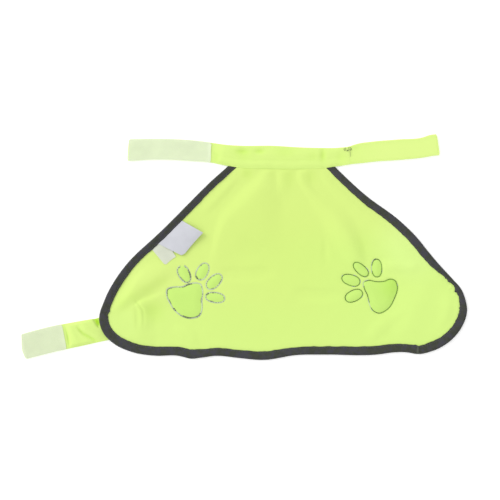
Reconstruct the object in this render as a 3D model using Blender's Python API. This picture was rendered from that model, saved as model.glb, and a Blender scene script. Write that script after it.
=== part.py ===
"""A dog's high-visibility vest, laid flat with the face that lies against the dog up.

One layer of fluorescent cloth is gathered into a folded neck strap and bound with tape round its other
edges. A belly strap is sewn under the left corner. Hook and loop tapes close both straps, and two labels
are caught in the binding. Its paw prints and all its stitching are surface work and aren't solids here.

Sizes are in millimetres up to the point where a mesh is made. X runs along the neck strap, +Y goes from
the hem to the neck, and Z = 0 is the surface that the vest lies on, under the middle of its outline.
"""

import bmesh
import bpy
import numpy as np
from mathutils import Vector
from mathutils.geometry import delaunay_2d_cdt

MM = 0.001

# Thicknesses and gaps
SEAM_GAP = 0.3  # between pieces that are sewn together
PANEL_CLOTH = 1.2
TAPE_CLOTH = 1.0  # one ply of the binding, and of the neck strap where it takes in the panel
STRAP_CLOTH = 1.6  # a strap's two plies, pressed flat
HOOK_TAPE = 1.2
LABEL = 1.0
LABEL_GAP = 0.8  # a label clears the uneven cloth under it

# Heights of the layers along a bound or gathered edge
UNDER_PANEL = TAPE_CLOTH + SEAM_GAP
OVER_PANEL = UNDER_PANEL + PANEL_CLOTH + SEAM_GAP
BINDING_TOP = OVER_PANEL + TAPE_CLOTH
ON_STRAP = STRAP_CLOTH + SEAM_GAP
ON_TAPE = HOOK_TAPE + SEAM_GAP

# The vest's outer edge, from the neck down the left slope, along the hem and up the right slope.
# x and y place it, and tape is how far the binding reaches in over the panel.
OUTLINE = (
    # x,     y,      tape
    (-20.5, 98.3, 8.0),  # neck, left
    (-44.0, 77.5, 8.6),
    (-75.0, 46.5, 9.2),
    (-106.0, 15.5, 9.4),
    (-138.0, -14.0, 9.8),
    (-156.0, -36.5, 10.0),
    (-170.0, -62.0, 10.3),
    (-177.2, -88.0, 11.4),  # left corner
    (-172.5, -104.0, 11.8),
    (-160.5, -116.5, 11.8),
    (-137.0, -127.8, 11.6),
    (-108.5, -132.2, 11.3),
    (-79.5, -132.4, 10.8),
    (-65.0, -135.7, 11.4),  # hem
    (-36.0, -132.6, 10.6),
    (-7.0, -135.0, 10.6),
    (21.0, -137.3, 10.6),
    (66.0, -131.2, 9.9),
    (100.0, -130.8, 10.2),
    (153.0, -131.0, 10.7),
    (196.0, -127.0, 9.6),
    (211.5, -129.8, 10.4),
    (226.0, -128.0, 11.0),
    (251.0, -113.6, 11.0),  # right corner
    (265.5, -95.0, 10.0),
    (271.4, -76.5, 9.2),
    (269.3, -62.0, 8.2),
    (263.5, -49.0, 6.7),
    (253.5, -38.0, 5.2),
    (234.0, -16.5, 8.6),
    (206.0, 17.0, 9.8),
    (184.5, 37.0, 9.6),
    (149.5, 62.5, 9.2),
    (117.0, 92.0, 8.8),
    (110.5, 98.5, 8.8),  # neck, right
)

# The neck strap: its middle line and its width
NECK_STRAP = (
    # x,     y,     width
    (-141.8, 118.6, 26.6),
    (-105.0, 119.8, 25.2),
    (-68.0, 118.2, 25.4),
    (-39.0, 114.7, 25.1),
    (-24.0, 112.1, 25.8),
    (-5.0, 109.9, 27.8),
    (34.0, 109.8, 27.9),
    (71.0, 108.8, 26.0),
    (93.0, 108.9, 24.9),
    (115.0, 110.3, 22.4),
    (129.4, 112.3, 21.8),
    (139.0, 114.2, 23.8),
    (158.7, 116.9, 24.5),
    (188.0, 119.2, 25.2),
    (217.0, 122.0, 24.8),
    (236.4, 124.6, 25.6),
)

# The belly strap, from its free end to the end that is sewn under the left corner
BELLY_STRAP = (
    # x,     y,      width
    (-268.3, -120.4, 29.8),
    (-229.3, -110.9, 30.4),
    (-209.8, -107.1, 30.0),
    (-175.7, -100.3, 28.6),
    (-135.4, -91.8, 28.2),
)

# The loop tape that the belly strap closes on, under the right corner
BELLY_LOOP = (
    # x,    y,     width
    (206.0, -82.0, 25.0),
    (254.0, -92.0, 25.0),
)

# Soft ridges that the gathers and the way it lies leave in the panel: start, bend and end of each crest,
# then its half width and its height at the start and at the end
FOLDS = (
    # x0,    y0,    x1,     y1,    x2,     y2,     wide0, wide1, high0, high1
    (-11.0, 93.0, -24.0, 80.0, -47.0, 53.0, 7.0, 9.0, 2.2, 0.6),  # beside the left slope
    (22.0, 95.0, -33.0, 52.0, -41.0, -18.0, 9.0, 15.0, 4.2, 1.2),  # long left sweep
    (41.0, 95.0, 44.0, 72.0, 33.0, 48.0, 7.5, 10.0, 3.6, 0.4),
    (64.0, 95.0, 99.0, 55.0, 141.0, -30.0, 8.0, 12.0, 3.8, 1.4),  # long right sweep
    (92.0, 95.0, 116.0, 70.0, 156.0, 24.0, 9.0, 16.0, 3.4, 1.6),
    (161.0, 18.0, 196.0, 2.0, 224.0, -36.0, 17.0, 17.0, 1.6, 2.6),  # beside the right slope
    (247.0, -62.0, 251.0, -84.0, 244.0, -104.0, 9.0, 9.0, 1.6, 1.8),
    (226.0, -50.0, 214.0, -74.0, 208.0, -106.0, 12.0, 11.0, 1.8, 1.6),
    (173.0, -92.0, 168.0, -104.0, 168.0, -118.0, 10.0, 9.0, 1.8, 1.2),
    (-150.0, -46.0, -128.0, -30.0, -97.0, -18.0, 14.0, 13.0, 2.6, 1.4),  # above the left corner
    (-126.0, -72.0, -116.0, -64.0, -100.0, -58.0, 9.0, 9.0, 2.6, 0.8),
    (-40.0, -46.0, -10.0, -44.0, 30.0, -50.0, 11.0, 13.0, 1.2, 1.0),
    (-82.0, -98.0, -66.0, -106.0, -62.0, -118.0, 12.0, 10.0, 1.2, 1.4),
)

# Labels caught in the binding: the two corners at the tape, then the two free ones beside them
CARE_LABEL = ((-91.3, 16.5), (-112.3, -3.5), (-94.1, -20.5), (-72.5, -1.8))
WOVEN_LABEL = ((-75.0, 31.5), (-104.1, 3.4), (-75.0, -10.5), (-50.4, 18.1))
LABEL_CURL = 3.2  # how far the woven label's free end stands up

# Where the straps' tapes and layers start and end, along X
NECK_HOOK_ENDS = (-141.2, -39.6)
NECK_LOOP_ENDS = (125.5, 235.8)
BELLY_HOOK_ENDS = (-267.8, -217.7)
STRAP_THICKENS = (-38.0, -25.0)  # from its two plies to two plies round the panel
STRAP_CLIMBS = (113.5, 124.5)  # on to the loop tape
TAPE_MARGIN = 0.4  # a sewn-on tape stays this far inside the strap's edges

# Details of the sections
NECK_TUCK = 11.5  # how far the gathered edge goes up into the neck strap
SLOT_TAPER = 3.0
CLOSED_SLOT = 0.6
FOLD_ROUND = 0.45
LEAN_LENGTH = 32.0  # the binding's ends lean along the neck seam over this length
SEAM_ROUNDS = 6  # corrections that bring such an end to the seam
EDGE_SHELF = 1.5  # the panel stays level this far past the binding
EDGE_FALL = 9.0
LIFT_SHELF = 5.0  # the cloth stays level this far past what lies under it
LIFT_FALL = 22.0

RIM_INSET = TAPE_CLOTH + SEAM_GAP  # the panel's cut edge, inside the fold of the binding
SHARP = 0.7  # radians; a steeper edge is shaded sharp

# Mesh spacing
EDGE_STEP = 8.0
STRAP_STEP = 8.0
PANEL_STEP = 9.5
GATHER_STEP = 4.8
GATHER_REACH = 62.0  # the finer mesh reaches this far below the neck seam
CURVE_STEPS = 8
TUCK_POINTS = 28
CREST_POINTS = 25
LABEL_POINTS = 9
SPREAD = 300.0  # the grid of the panel's points covers this far to each side
HEX_ROW = 0.866

CLOTHS = {
    # name: colour, roughness
    "fluorescent_cloth": ((0.71, 0.92, 0.21, 1.0), 0.75),
    "binding_tape": ((0.065, 0.067, 0.075, 1.0), 0.8),
    "hook_tape": ((0.76, 0.88, 0.56, 1.0), 0.6),
    "loop_tape": ((0.70, 0.90, 0.25, 1.0), 0.9),
    "label_satin": ((0.62, 0.62, 0.66, 1.0), 0.45),
    "label_nylon": ((0.80, 0.84, 0.72, 1.0), 0.5),
}


def smooth(t):
    """0 before t = 0, 1 after t = 1, and an even S between them."""
    t = np.clip(t, 0.0, 1.0)
    return t * t * (3.0 - 2.0 * t)


def curve_through(rows):
    """Points of a smooth curve through the rows. Every column is carried along it."""
    rows = np.array(rows, float)
    knots = np.append(0.0, np.cumsum(np.hypot(*np.diff(rows[:, :2], axis=0).T)))
    slopes = np.gradient(rows, knots, axis=0)
    points = []
    for i, span in enumerate(np.diff(knots)):
        for t in np.arange(CURVE_STEPS) / CURVE_STEPS:
            s = smooth(t)
            start = (1.0 - s) * rows[i] + t * (1.0 - t) ** 2 * span * slopes[i]
            points.append(start + s * rows[i + 1] - t * t * (1.0 - t) * span * slopes[i + 1])
    return np.array(points + [rows[-1]])


class Line:
    """A smooth plan curve with a width, read by the distance along it."""

    def __init__(self, rows):
        self.points = curve_through(rows)
        steps = np.hypot(*np.diff(self.points[:, :2], axis=0).T)
        self.at = np.append(0.0, np.cumsum(steps))
        self.length = self.at[-1]
        along = np.gradient(self.points[:, :2], self.at, axis=0)
        self.along = along / np.hypot(*along.T)[:, None]

    def read(self, s):
        """(point, direction, width) at distance s, with the direction of length 1."""
        x, y, width = (np.interp(s, self.at, column) for column in self.points.T)
        along = np.array([np.interp(s, self.at, column) for column in self.along.T])
        return np.array([x, y]), along / np.hypot(*along), width

    def at_x(self, x):
        """Distance along a line whose x only grows, where it passes x."""
        return np.interp(x, self.points[:, 0], self.at)

    def nearest(self, plan):
        """(distance, width there) of the closest point of the line, for each plan point."""
        gaps, piece, share = gaps_to(self.points[:, :2], plan)
        widths = self.points[:, 2]
        return gaps, widths[piece] + share * (widths[piece + 1] - widths[piece])


def gaps_to(path, plan):
    """(distance, piece, share along it) of the closest spot on a path of points, for each plan point."""
    runs = np.diff(path, axis=0)
    offsets = plan[:, None, :] - path[:-1]
    share = np.clip((offsets * runs).sum(2) / (runs * runs).sum(1), 0.0, 1.0)
    gaps = np.linalg.norm(offsets - share[:, :, None] * runs, axis=2)
    piece = gaps.argmin(axis=1)
    picked = np.arange(len(plan)), piece
    return gaps[picked], piece, share[picked]


def side_of(along):
    """The direction to the left of a plan direction."""
    return np.array([-along[1], along[0]])


EDGE = Line(OUTLINE)
NECK = Line(NECK_STRAP)
BELLY = Line(BELLY_STRAP)
LOOP = Line(BELLY_LOOP)


def neck_seam(x):
    """y of the neck strap's lower edge, where the gathers come out of it."""
    middle, width, along = NECK.points[:, :2], NECK.points[:, 2], NECK.along
    lower = middle - np.stack([-along[:, 1], along[:, 0]], axis=1) * width[:, None] / 2.0
    return np.interp(x, lower[:, 0], lower[:, 1])


def edge_point(s, inset):
    """The plan point inset from the vest's outer edge at distance s. Both ends lie along the neck seam."""
    end = 0.0 if s < EDGE.length / 2.0 else EDGE.length
    corner, out, _ = EDGE.read(end)
    corner = corner + side_of(out) * inset
    pull = 0.0
    for _ in range(SEAM_ROUNDS):
        x, y = corner + out * pull
        pull += (neck_seam(x) - SEAM_GAP - y) / out[1]
    lean = max(0.0, 1.0 - abs(s - end) / LEAN_LENGTH)
    point, along, _ = EDGE.read(s)
    return point + side_of(along) * inset + along * pull * lean


def edge_stations():
    return np.linspace(0.0, EDGE.length, round(EDGE.length / EDGE_STEP) + 1)


def outline_of(line, spare):
    """A closed ring of plan points round a strap or tape, spare outside it."""
    sides = {-1.0: [], 1.0: []}
    count = round(line.length / EDGE_STEP) + 1
    for s in np.linspace(0.0, line.length, count):
        point, along, width = line.read(s)
        end = {0.0: -spare, line.length: spare}.get(s, 0.0)
        for side, spots in sides.items():
            spots.append(point + along * end + side * side_of(along) * (width / 2.0 + spare))
    corners = sides[-1.0] + sides[1.0][::-1]
    ring = []
    for start, end in zip(corners, corners[1:] + corners[:1]):
        parts = max(1, round(float(np.linalg.norm(end - start)) / EDGE_STEP))
        ring += [start + (end - start) * i / parts for i in range(parts)]
    return np.array(ring)


def inside(ring, plan):
    """Which plan points a closed ring holds, by counting its crossings to the right."""
    x, y = plan.T
    odd = np.zeros(len(plan), bool)
    for (x0, y0), (x1, y1) in zip(ring, np.roll(ring, -1, axis=0)):
        crosses = (y0 > y) != (y1 > y)
        odd ^= crosses & (x < x0 + (y - y0) * (x1 - x0) / (y1 - y0 or 1.0))
    return odd


def lift(plan):
    """How far the strap and the tape that are sewn under the cloth raise it."""
    heights = []
    for ring, rise in UNDER_CLOTH:
        gaps, _, _ = gaps_to(np.vstack((ring, ring[:1])), plan)
        outside = np.where(inside(ring, plan), 0.0, gaps)
        heights.append(rise * (1.0 - smooth(outside / LIFT_FALL)))
    return np.maximum(*heights)


UNDER_CLOTH = ((outline_of(BELLY, LIFT_SHELF), ON_STRAP), (outline_of(LOOP, LIFT_SHELF), ON_TAPE))


def fold_height(plan):
    """Height of the soft ridges, each a raised cosine across a bent crest."""
    height = np.zeros(len(plan))
    t = np.linspace(0.0, 1.0, CREST_POINTS)[:, None]
    for x0, y0, x1, y1, x2, y2, wide0, wide1, high0, high1 in FOLDS:
        start, bend, end = np.array([x0, y0]), np.array([x1, y1]), np.array([x2, y2])
        crest = (1.0 - t) ** 2 * start + 2.0 * t * (1.0 - t) * bend + t * t * end
        gaps = np.linalg.norm(plan[:, None, :] - crest, axis=2)
        share = t[gaps.argmin(axis=1), 0]
        wide = wide0 + (wide1 - wide0) * share
        high = high0 + (high1 - high0) * share
        across = np.clip(gaps.min(axis=1) / wide, 0.0, 1.0)
        height = np.maximum(height, high * (0.5 + 0.5 * np.cos(np.pi * across)))
    return height


def panel_underside(plan):
    """Height of the panel's lower face: level in its seams, flat on the surface between the folds."""
    inset, tape = EDGE.nearest(plan)
    from_edge = smooth((inset - tape - EDGE_SHELF) / EDGE_FALL)
    from_neck = smooth((neck_seam(plan[:, 0]) - plan[:, 1] - EDGE_SHELF) / EDGE_FALL)
    free = np.minimum(from_edge, from_neck)
    return UNDER_PANEL * (1.0 - free) + fold_height(plan) * free + lift(plan)


def new_object(name, bm, material):
    bmesh.ops.recalc_face_normals(bm, faces=bm.faces)
    mesh = bpy.data.meshes.new(name)
    bm.to_mesh(mesh)
    bm.free()
    mesh.materials.append(bpy.data.materials[material])
    mesh.shade_smooth()
    mesh.set_sharp_from_angle(angle=SHARP)
    obj = bpy.data.objects.new(name, mesh)
    bpy.context.scene.collection.objects.link(obj)
    return obj


def loft(name, sections, material):
    """A closed solid through the sections, which are lists of (x, y, z) with the same number of points."""
    bm = bmesh.new()
    rings = [[bm.verts.new(Vector(point) * MM) for point in section] for section in sections]
    count = len(rings[0])
    for ring, onward in zip(rings, rings[1:]):
        for i in range(count):
            j = (i + 1) % count
            bm.faces.new((ring[i], ring[j], onward[j], onward[i]))
    bm.faces.new(rings[0])
    bm.faces.new(rings[-1])
    return new_object(name, bm, material)


def layer(name, plan, faces, underside, thickness, material):
    """A closed wall of cloth over a plan mesh: two faces a thickness apart, and the rim between them."""
    bm = bmesh.new()
    lower = [bm.verts.new(Vector((x, y, z)) * MM) for (x, y), z in zip(plan, underside)]
    upper = [bm.verts.new(vert.co + Vector((0.0, 0.0, thickness * MM))) for vert in lower]
    sides = set()
    for face in faces:
        bm.faces.new([upper[i] for i in face])
        bm.faces.new([lower[i] for i in reversed(face)])
        sides.update(zip(face, face[1:] + face[:1]))
    for a, b in sorted(sides):
        if (b, a) not in sides:
            bm.faces.new((lower[a], lower[b], upper[b], upper[a]))
    return new_object(name, bm, material)


def panel_plan():
    """Points and triangles of the panel in plan, with rings that follow its seams."""
    stations = edge_stations()
    rim = [edge_point(s, RIM_INSET) for s in stations]
    shelf = [edge_point(s, EDGE.read(s)[2] + EDGE_SHELF) for s in stations]
    tuck = [(x, neck_seam(x) + NECK_TUCK) for x in np.linspace(rim[-1][0], rim[0][0], TUCK_POINTS)]
    below_seam = np.linspace(shelf[-1][0], shelf[0][0], TUCK_POINTS)[1:-1]
    seam = [(x, neck_seam(x) - SEAM_GAP) for x in below_seam]
    outer, inner = rim + tuck, shelf + seam
    edges = ring_edges(0, len(outer)) + ring_edges(len(outer), len(inner))
    spots = [clear_of_rings(ring, np.array(inner), 0.0) for ring, _ in UNDER_CLOTH]
    for step, near_neck in ((PANEL_STEP, False), (GATHER_STEP, True)):
        spots.append(clear_of_rings(hex_grid(step, near_neck), np.array(inner), 0.55 * step))
    points = [Vector((float(x), float(y))) for x, y in outer + inner + list(np.vstack(spots))]
    plan, _, faces, *_ = delaunay_2d_cdt(points, edges, [], 1, 1e-4)
    return np.array(plan), [list(face) for face in faces]


def ring_edges(first, count):
    return [(first + i, first + (i + 1) % count) for i in range(count)]


def hex_grid(step, near_neck):
    """Plan points a step apart in three directions, near the gathers or everywhere else."""
    spots = []
    for row, y in enumerate(np.arange(-SPREAD / 2.0, SPREAD / 2.0, step * HEX_ROW)):
        for x in np.arange(-SPREAD, SPREAD, step) + step / 2.0 * (row % 2):
            if (neck_seam(x) - y < GATHER_REACH) == near_neck:
                spots.append((x, y))
    return np.array(spots)


def clear_of_rings(spots, inner, room):
    """The plan points that lie inside the ring of the seams, this far from every ring."""
    gaps, _, _ = gaps_to(np.vstack((inner, inner[:1])), spots)
    keep = inside(inner, spots) & (gaps > max(room, EDGE_SHELF))
    for ring, _ in UNDER_CLOTH:
        if room:
            keep &= gaps_to(np.vstack((ring, ring[:1])), spots)[0] > room
    return spots[keep]


def back_panel():
    plan, faces = panel_plan()
    layer("back_panel", plan, faces, panel_underside(plan), PANEL_CLOTH, "fluorescent_cloth")


def edge_binding():
    """A tape folded round the panel's edge: a lower leaf, the fold and an upper leaf."""
    sections = []
    for s in edge_stations():
        tape = EDGE.read(s)[2]
        profile = (
            (tape, 0.0),
            (tape, TAPE_CLOTH),
            (TAPE_CLOTH, TAPE_CLOTH),
            (TAPE_CLOTH, OVER_PANEL),
            (tape, OVER_PANEL),
            (tape, BINDING_TOP),
            (FOLD_ROUND, BINDING_TOP),
            (0.0, BINDING_TOP - FOLD_ROUND),
            (0.0, FOLD_ROUND),
            (FOLD_ROUND, 0.0),
        )
        plan = np.array([edge_point(s, inset) for inset, _ in profile])
        heights = [z for _, z in profile] + lift(plan)
        sections.append([(x, y, z) for (x, y), z in zip(plan, heights)])
    loft("edge_binding", sections, "binding_tape")


def strap_stations(first, last):
    return list(np.linspace(first, last, round((last - first) / STRAP_STEP) + 1))


def neck_strap():
    """A band folded along its upper edge. Its open lower edge takes in the gathered panel."""
    slot_ends = edge_point(0.0, 0.0)[0], edge_point(EDGE.length, 0.0)[0]
    stations = strap_stations(NECK_STRAP[0][0], NECK_STRAP[-1][0])
    for end, outward in zip(slot_ends, (-1.0, 1.0)):
        stations = [x for x in stations if abs(x - end) > SLOT_TAPER]
        stations += [end, end + outward * SLOT_TAPER]
    sections = []
    for x in sorted(stations):
        middle, along, width = NECK.read(NECK.at_x(x))
        across = side_of(along)
        thick = smooth((x - STRAP_THICKENS[0]) / (STRAP_THICKENS[1] - STRAP_THICKENS[0]))
        climb = smooth((x - STRAP_CLIMBS[0]) / (STRAP_CLIMBS[1] - STRAP_CLIMBS[0]))
        bottom = ON_TAPE * climb
        full = BINDING_TOP + (STRAP_CLOTH - BINDING_TOP) * climb
        top = bottom + STRAP_CLOTH + (full - STRAP_CLOTH) * thick
        open_here = slot_ends[0] <= x <= slot_ends[1]
        depth = NECK_TUCK + SEAM_GAP if open_here else CLOSED_SLOT
        ply = TAPE_CLOTH if open_here else (top - bottom - SEAM_GAP) / 2.0
        half = width / 2.0
        profile = (
            (-half, bottom),
            (half - FOLD_ROUND, bottom),
            (half, bottom + FOLD_ROUND),
            (half, top - FOLD_ROUND),
            (half - FOLD_ROUND, top),
            (-half, top),
            (-half, top - ply),
            (depth - half, top - ply),
            (depth - half, bottom + ply),
            (-half, bottom + ply),
        )
        sections.append([(*(middle + across * aside), z) for aside, z in profile])
    loft("neck_strap", sections, "fluorescent_cloth")


def strip(name, line, ends, bottom, thickness, margin, material):
    """A flat strip that follows a strap between two places along X."""
    sections = []
    first, last = (line.at_x(x) for x in ends)
    for s in strap_stations(first, last):
        middle, along, width = line.read(s)
        reach = side_of(along) * (width / 2.0 - margin)
        left, right = middle + reach, middle - reach
        low, high = bottom, bottom + thickness
        sections.append([(*left, low), (*right, low), (*right, high), (*left, high)])
    loft(name, sections, material)


def straps_and_tapes():
    belly_ends = BELLY_STRAP[0][0], BELLY_STRAP[-1][0]
    loop_ends = BELLY_LOOP[0][0], BELLY_LOOP[-1][0]
    strip("belly_strap", BELLY, belly_ends, 0.0, STRAP_CLOTH, 0.0, "fluorescent_cloth")
    strip("belly_hook_tape", BELLY, BELLY_HOOK_ENDS, ON_STRAP, HOOK_TAPE, TAPE_MARGIN, "hook_tape")
    strip("belly_loop_tape", LOOP, loop_ends, 0.0, HOOK_TAPE, 0.0, "loop_tape")
    strip("neck_hook_tape", NECK, NECK_HOOK_ENDS, ON_STRAP, HOOK_TAPE, TAPE_MARGIN, "hook_tape")
    strip("neck_loop_tape", NECK, NECK_LOOP_ENDS, 0.0, HOOK_TAPE, TAPE_MARGIN, "loop_tape")


def label(name, corners, over_panel, curl, material):
    """A label that follows the cloth under it, with its caught side just off the binding."""
    caught = []
    for x, y in corners[:2]:
        gaps = np.linalg.norm(EDGE.points[:, :2] - (x, y), axis=1)
        s = EDGE.at[gaps.argmin()]
        caught.append(edge_point(s, EDGE.read(s)[2] + SEAM_GAP))
    free = [np.array(corners[3]), np.array(corners[2])]
    shares = np.linspace(0.0, 1.0, LABEL_POINTS)
    plan, rise = [], []
    for t in shares:
        for u in shares:
            near = caught[0] + (caught[1] - caught[0]) * u
            far = free[0] + (free[1] - free[0]) * u
            plan.append(near + (far - near) * t)
            rise.append(curl * t * t * (0.6 + 0.4 * np.cos(np.pi * (u - 0.3))))
    plan = np.array(plan)
    corners_of = [row * LABEL_POINTS + i for row in range(LABEL_POINTS - 1) for i in range(LABEL_POINTS - 1)]
    faces = [[i, i + 1, i + LABEL_POINTS + 1, i + LABEL_POINTS] for i in corners_of]
    underside = panel_underside(plan) + PANEL_CLOTH + over_panel + np.array(rise)
    layer(name, plan, faces, underside, LABEL, material)


def labels():
    label("care_label", CARE_LABEL, LABEL_GAP, 0.0, "label_nylon")
    label("woven_label", WOVEN_LABEL, LABEL_GAP + LABEL + LABEL_GAP, LABEL_CURL, "label_satin")


def materials():
    for name, (colour, roughness) in CLOTHS.items():
        material = bpy.data.materials.new(name)
        material.use_nodes = True
        shader = material.node_tree.nodes["Principled BSDF"]
        shader.inputs["Base Color"].default_value = colour
        shader.inputs["Roughness"].default_value = roughness
        shader.inputs["Metallic"].default_value = 0.0


def main():
    for obj in list(bpy.data.objects):
        bpy.data.objects.remove(obj)
    materials()
    back_panel()
    edge_binding()
    neck_strap()
    straps_and_tapes()
    labels()


main()
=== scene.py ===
"""The looks of a dog's high-visibility vest, laid flat with the face that lies against the dog up.

Cloth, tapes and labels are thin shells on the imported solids' forms, with the finer folds, stitching, hooks
and pile that the solids leave out. Sizes are in millimetres until a mesh is made, in the model's own frame:
X runs along the neck strap, +Y goes from the hem to the neck, and Z = 0 is the surface that the vest lies on.
"""

import math

import bpy
import numpy as np
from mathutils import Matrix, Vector
from mathutils.geometry import delaunay_2d_cdt


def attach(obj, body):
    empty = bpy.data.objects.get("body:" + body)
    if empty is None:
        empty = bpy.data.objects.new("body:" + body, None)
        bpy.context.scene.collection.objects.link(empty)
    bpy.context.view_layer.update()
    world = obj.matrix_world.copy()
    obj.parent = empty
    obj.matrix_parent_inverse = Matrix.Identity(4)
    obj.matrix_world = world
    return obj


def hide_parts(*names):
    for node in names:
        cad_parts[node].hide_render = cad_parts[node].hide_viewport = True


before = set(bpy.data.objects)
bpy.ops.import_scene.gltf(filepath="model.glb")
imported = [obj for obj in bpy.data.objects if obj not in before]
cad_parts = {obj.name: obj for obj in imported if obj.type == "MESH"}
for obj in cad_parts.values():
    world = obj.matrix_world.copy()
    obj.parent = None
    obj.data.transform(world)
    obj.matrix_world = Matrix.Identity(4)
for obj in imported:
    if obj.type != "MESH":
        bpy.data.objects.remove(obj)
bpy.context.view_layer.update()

MM = 0.001

# Levels that the solids set
SEAM_GAP = 0.3
UNDER_PANEL = 1.3  # the panel's lower face in its seams
ON_STRAP = 1.9  # what lies on a strap
ON_TAPE = 1.5  # what lies on a loop tape

# The vest's outer edge, from the neck down the left slope, along the hem and up the right slope.
# x and y place it, and tape is how far the binding reaches in over the panel.
OUTLINE = (
    # x, y, tape
    (-21, 98.7, 8),  # neck, left
    (-44.3, 77.7, 8.5), (-75.2, 46.7, 9.2), (-106.3, 15.8, 9.5), (-138.2, -13.8, 9.7), (-156, -36.5, 10),
    (-170, -62, 10.3), (-177.2, -88, 11.4),  # left corner
    (-172.5, -104, 11.8), (-160.5, -116.5, 11.8), (-137, -127.8, 11.6), (-108.5, -132.2, 11.3),
    (-80.5, -132.2, 10.8), (-73.5, -133.8, 11), (-66.5, -135.6, 11.4),  # kink in the hem
    (-52, -134.4, 10.5), (-36, -132.4, 9.8), (-7, -135, 10.2), (21, -137.3, 10.6), (66, -131.2, 9.9),
    (100, -130.8, 10.2), (153, -131.3, 10.9), (196, -127.8, 10.2), (214, -130, 10.4), (228, -126.8, 11),
    (251.3, -114, 11.3),  # right corner
    (266, -95.3, 10.4), (271.7, -76.7, 9.5), (269.3, -62, 8.2), (263.5, -49, 6.7), (253.5, -38, 5.4),
    (234, -16.5, 9.1), (206, 17, 10.2), (184.5, 37, 10), (149.5, 62.5, 9.2), (117.2, 92.2, 8.8),
    (110.7, 98.7, 8.8),  # neck, right
)

# The middle and the reach of the stretch where the binding is bunched up
BUNCHED_AT = (268, -62)
BUNCHED_REACH = 75

# Where the binding's inner edge bites into the panel, or is pushed back by it
BITES = (
    # x, y, reach, deep
    (236.5, -30.3, 2.2, 0.5), (244.7, -37.5, 2.4, 0.8), (249.3, -41, 3, 1.3), (255.4, -45.8, 3.4, -0.9),
    (257.4, -53, 3.2, 2.2), (262.3, -61, 3, -0.4), (262.2, -73.8, 2.4, 0.9), (260.9, -82, 2.4, 0.7),
    (257.8, -90, 2.2, 0.6), (251, -99, 2.4, 0.5), (-165, -77, 3.4, 0.7), (208.5, -120.5, 3, 0.8),
    (212.5, -120, 2.2, -0.5), (-166.5, -82.5, 4, -0.9),
)

# Where the binding's end laps over its start: how far the lap reaches, rises and leans, and where its cut
# edge gets a painted highlight
TAPE_LAP = (212, -124)
LAP_REACH = 2.3
LAP_RISE = 1
LAP_LEAN = 0.05
LAP_HIGHLIGHT_BEFORE = 0.9
LAP_HIGHLIGHT_REACH = 2

# The neck strap: its middle line and its width
NECK_STRAP = (
    # x, y, width
    (-141.8, 118.7, 26.4), (-105, 119.9, 25), (-68, 118.3, 25.2), (-39, 115.5, 24.1), (-24, 112.9, 25.2),
    (-5, 110.8, 27), (34, 110.1, 28.2), (71, 109, 26.2), (93, 109.1, 25), (115, 110.5, 22.6),
    (129.4, 112.5, 22), (139, 114.5, 24.2), (158.7, 117.1, 24.7), (188, 119.3, 25.2), (221, 122.6, 24.7),
    (228.5, 124.6, 25.8), (236.4, 125.4, 26.2),
)

# The belly strap, from its free end to the end that is sewn under the left corner
BELLY_STRAP = (
    # x, y, width
    (-269.6, -121, 30.4), (-229.3, -110.7, 30.8), (-209.8, -106.8, 30.6), (-175.7, -100, 29.2),
    (-135.4, -91.7, 28.4),
)

# The loop tape that the belly strap closes on, under the right corner
BELLY_LOOP = ((206, -82, 25), (254, -92, 25))

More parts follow.
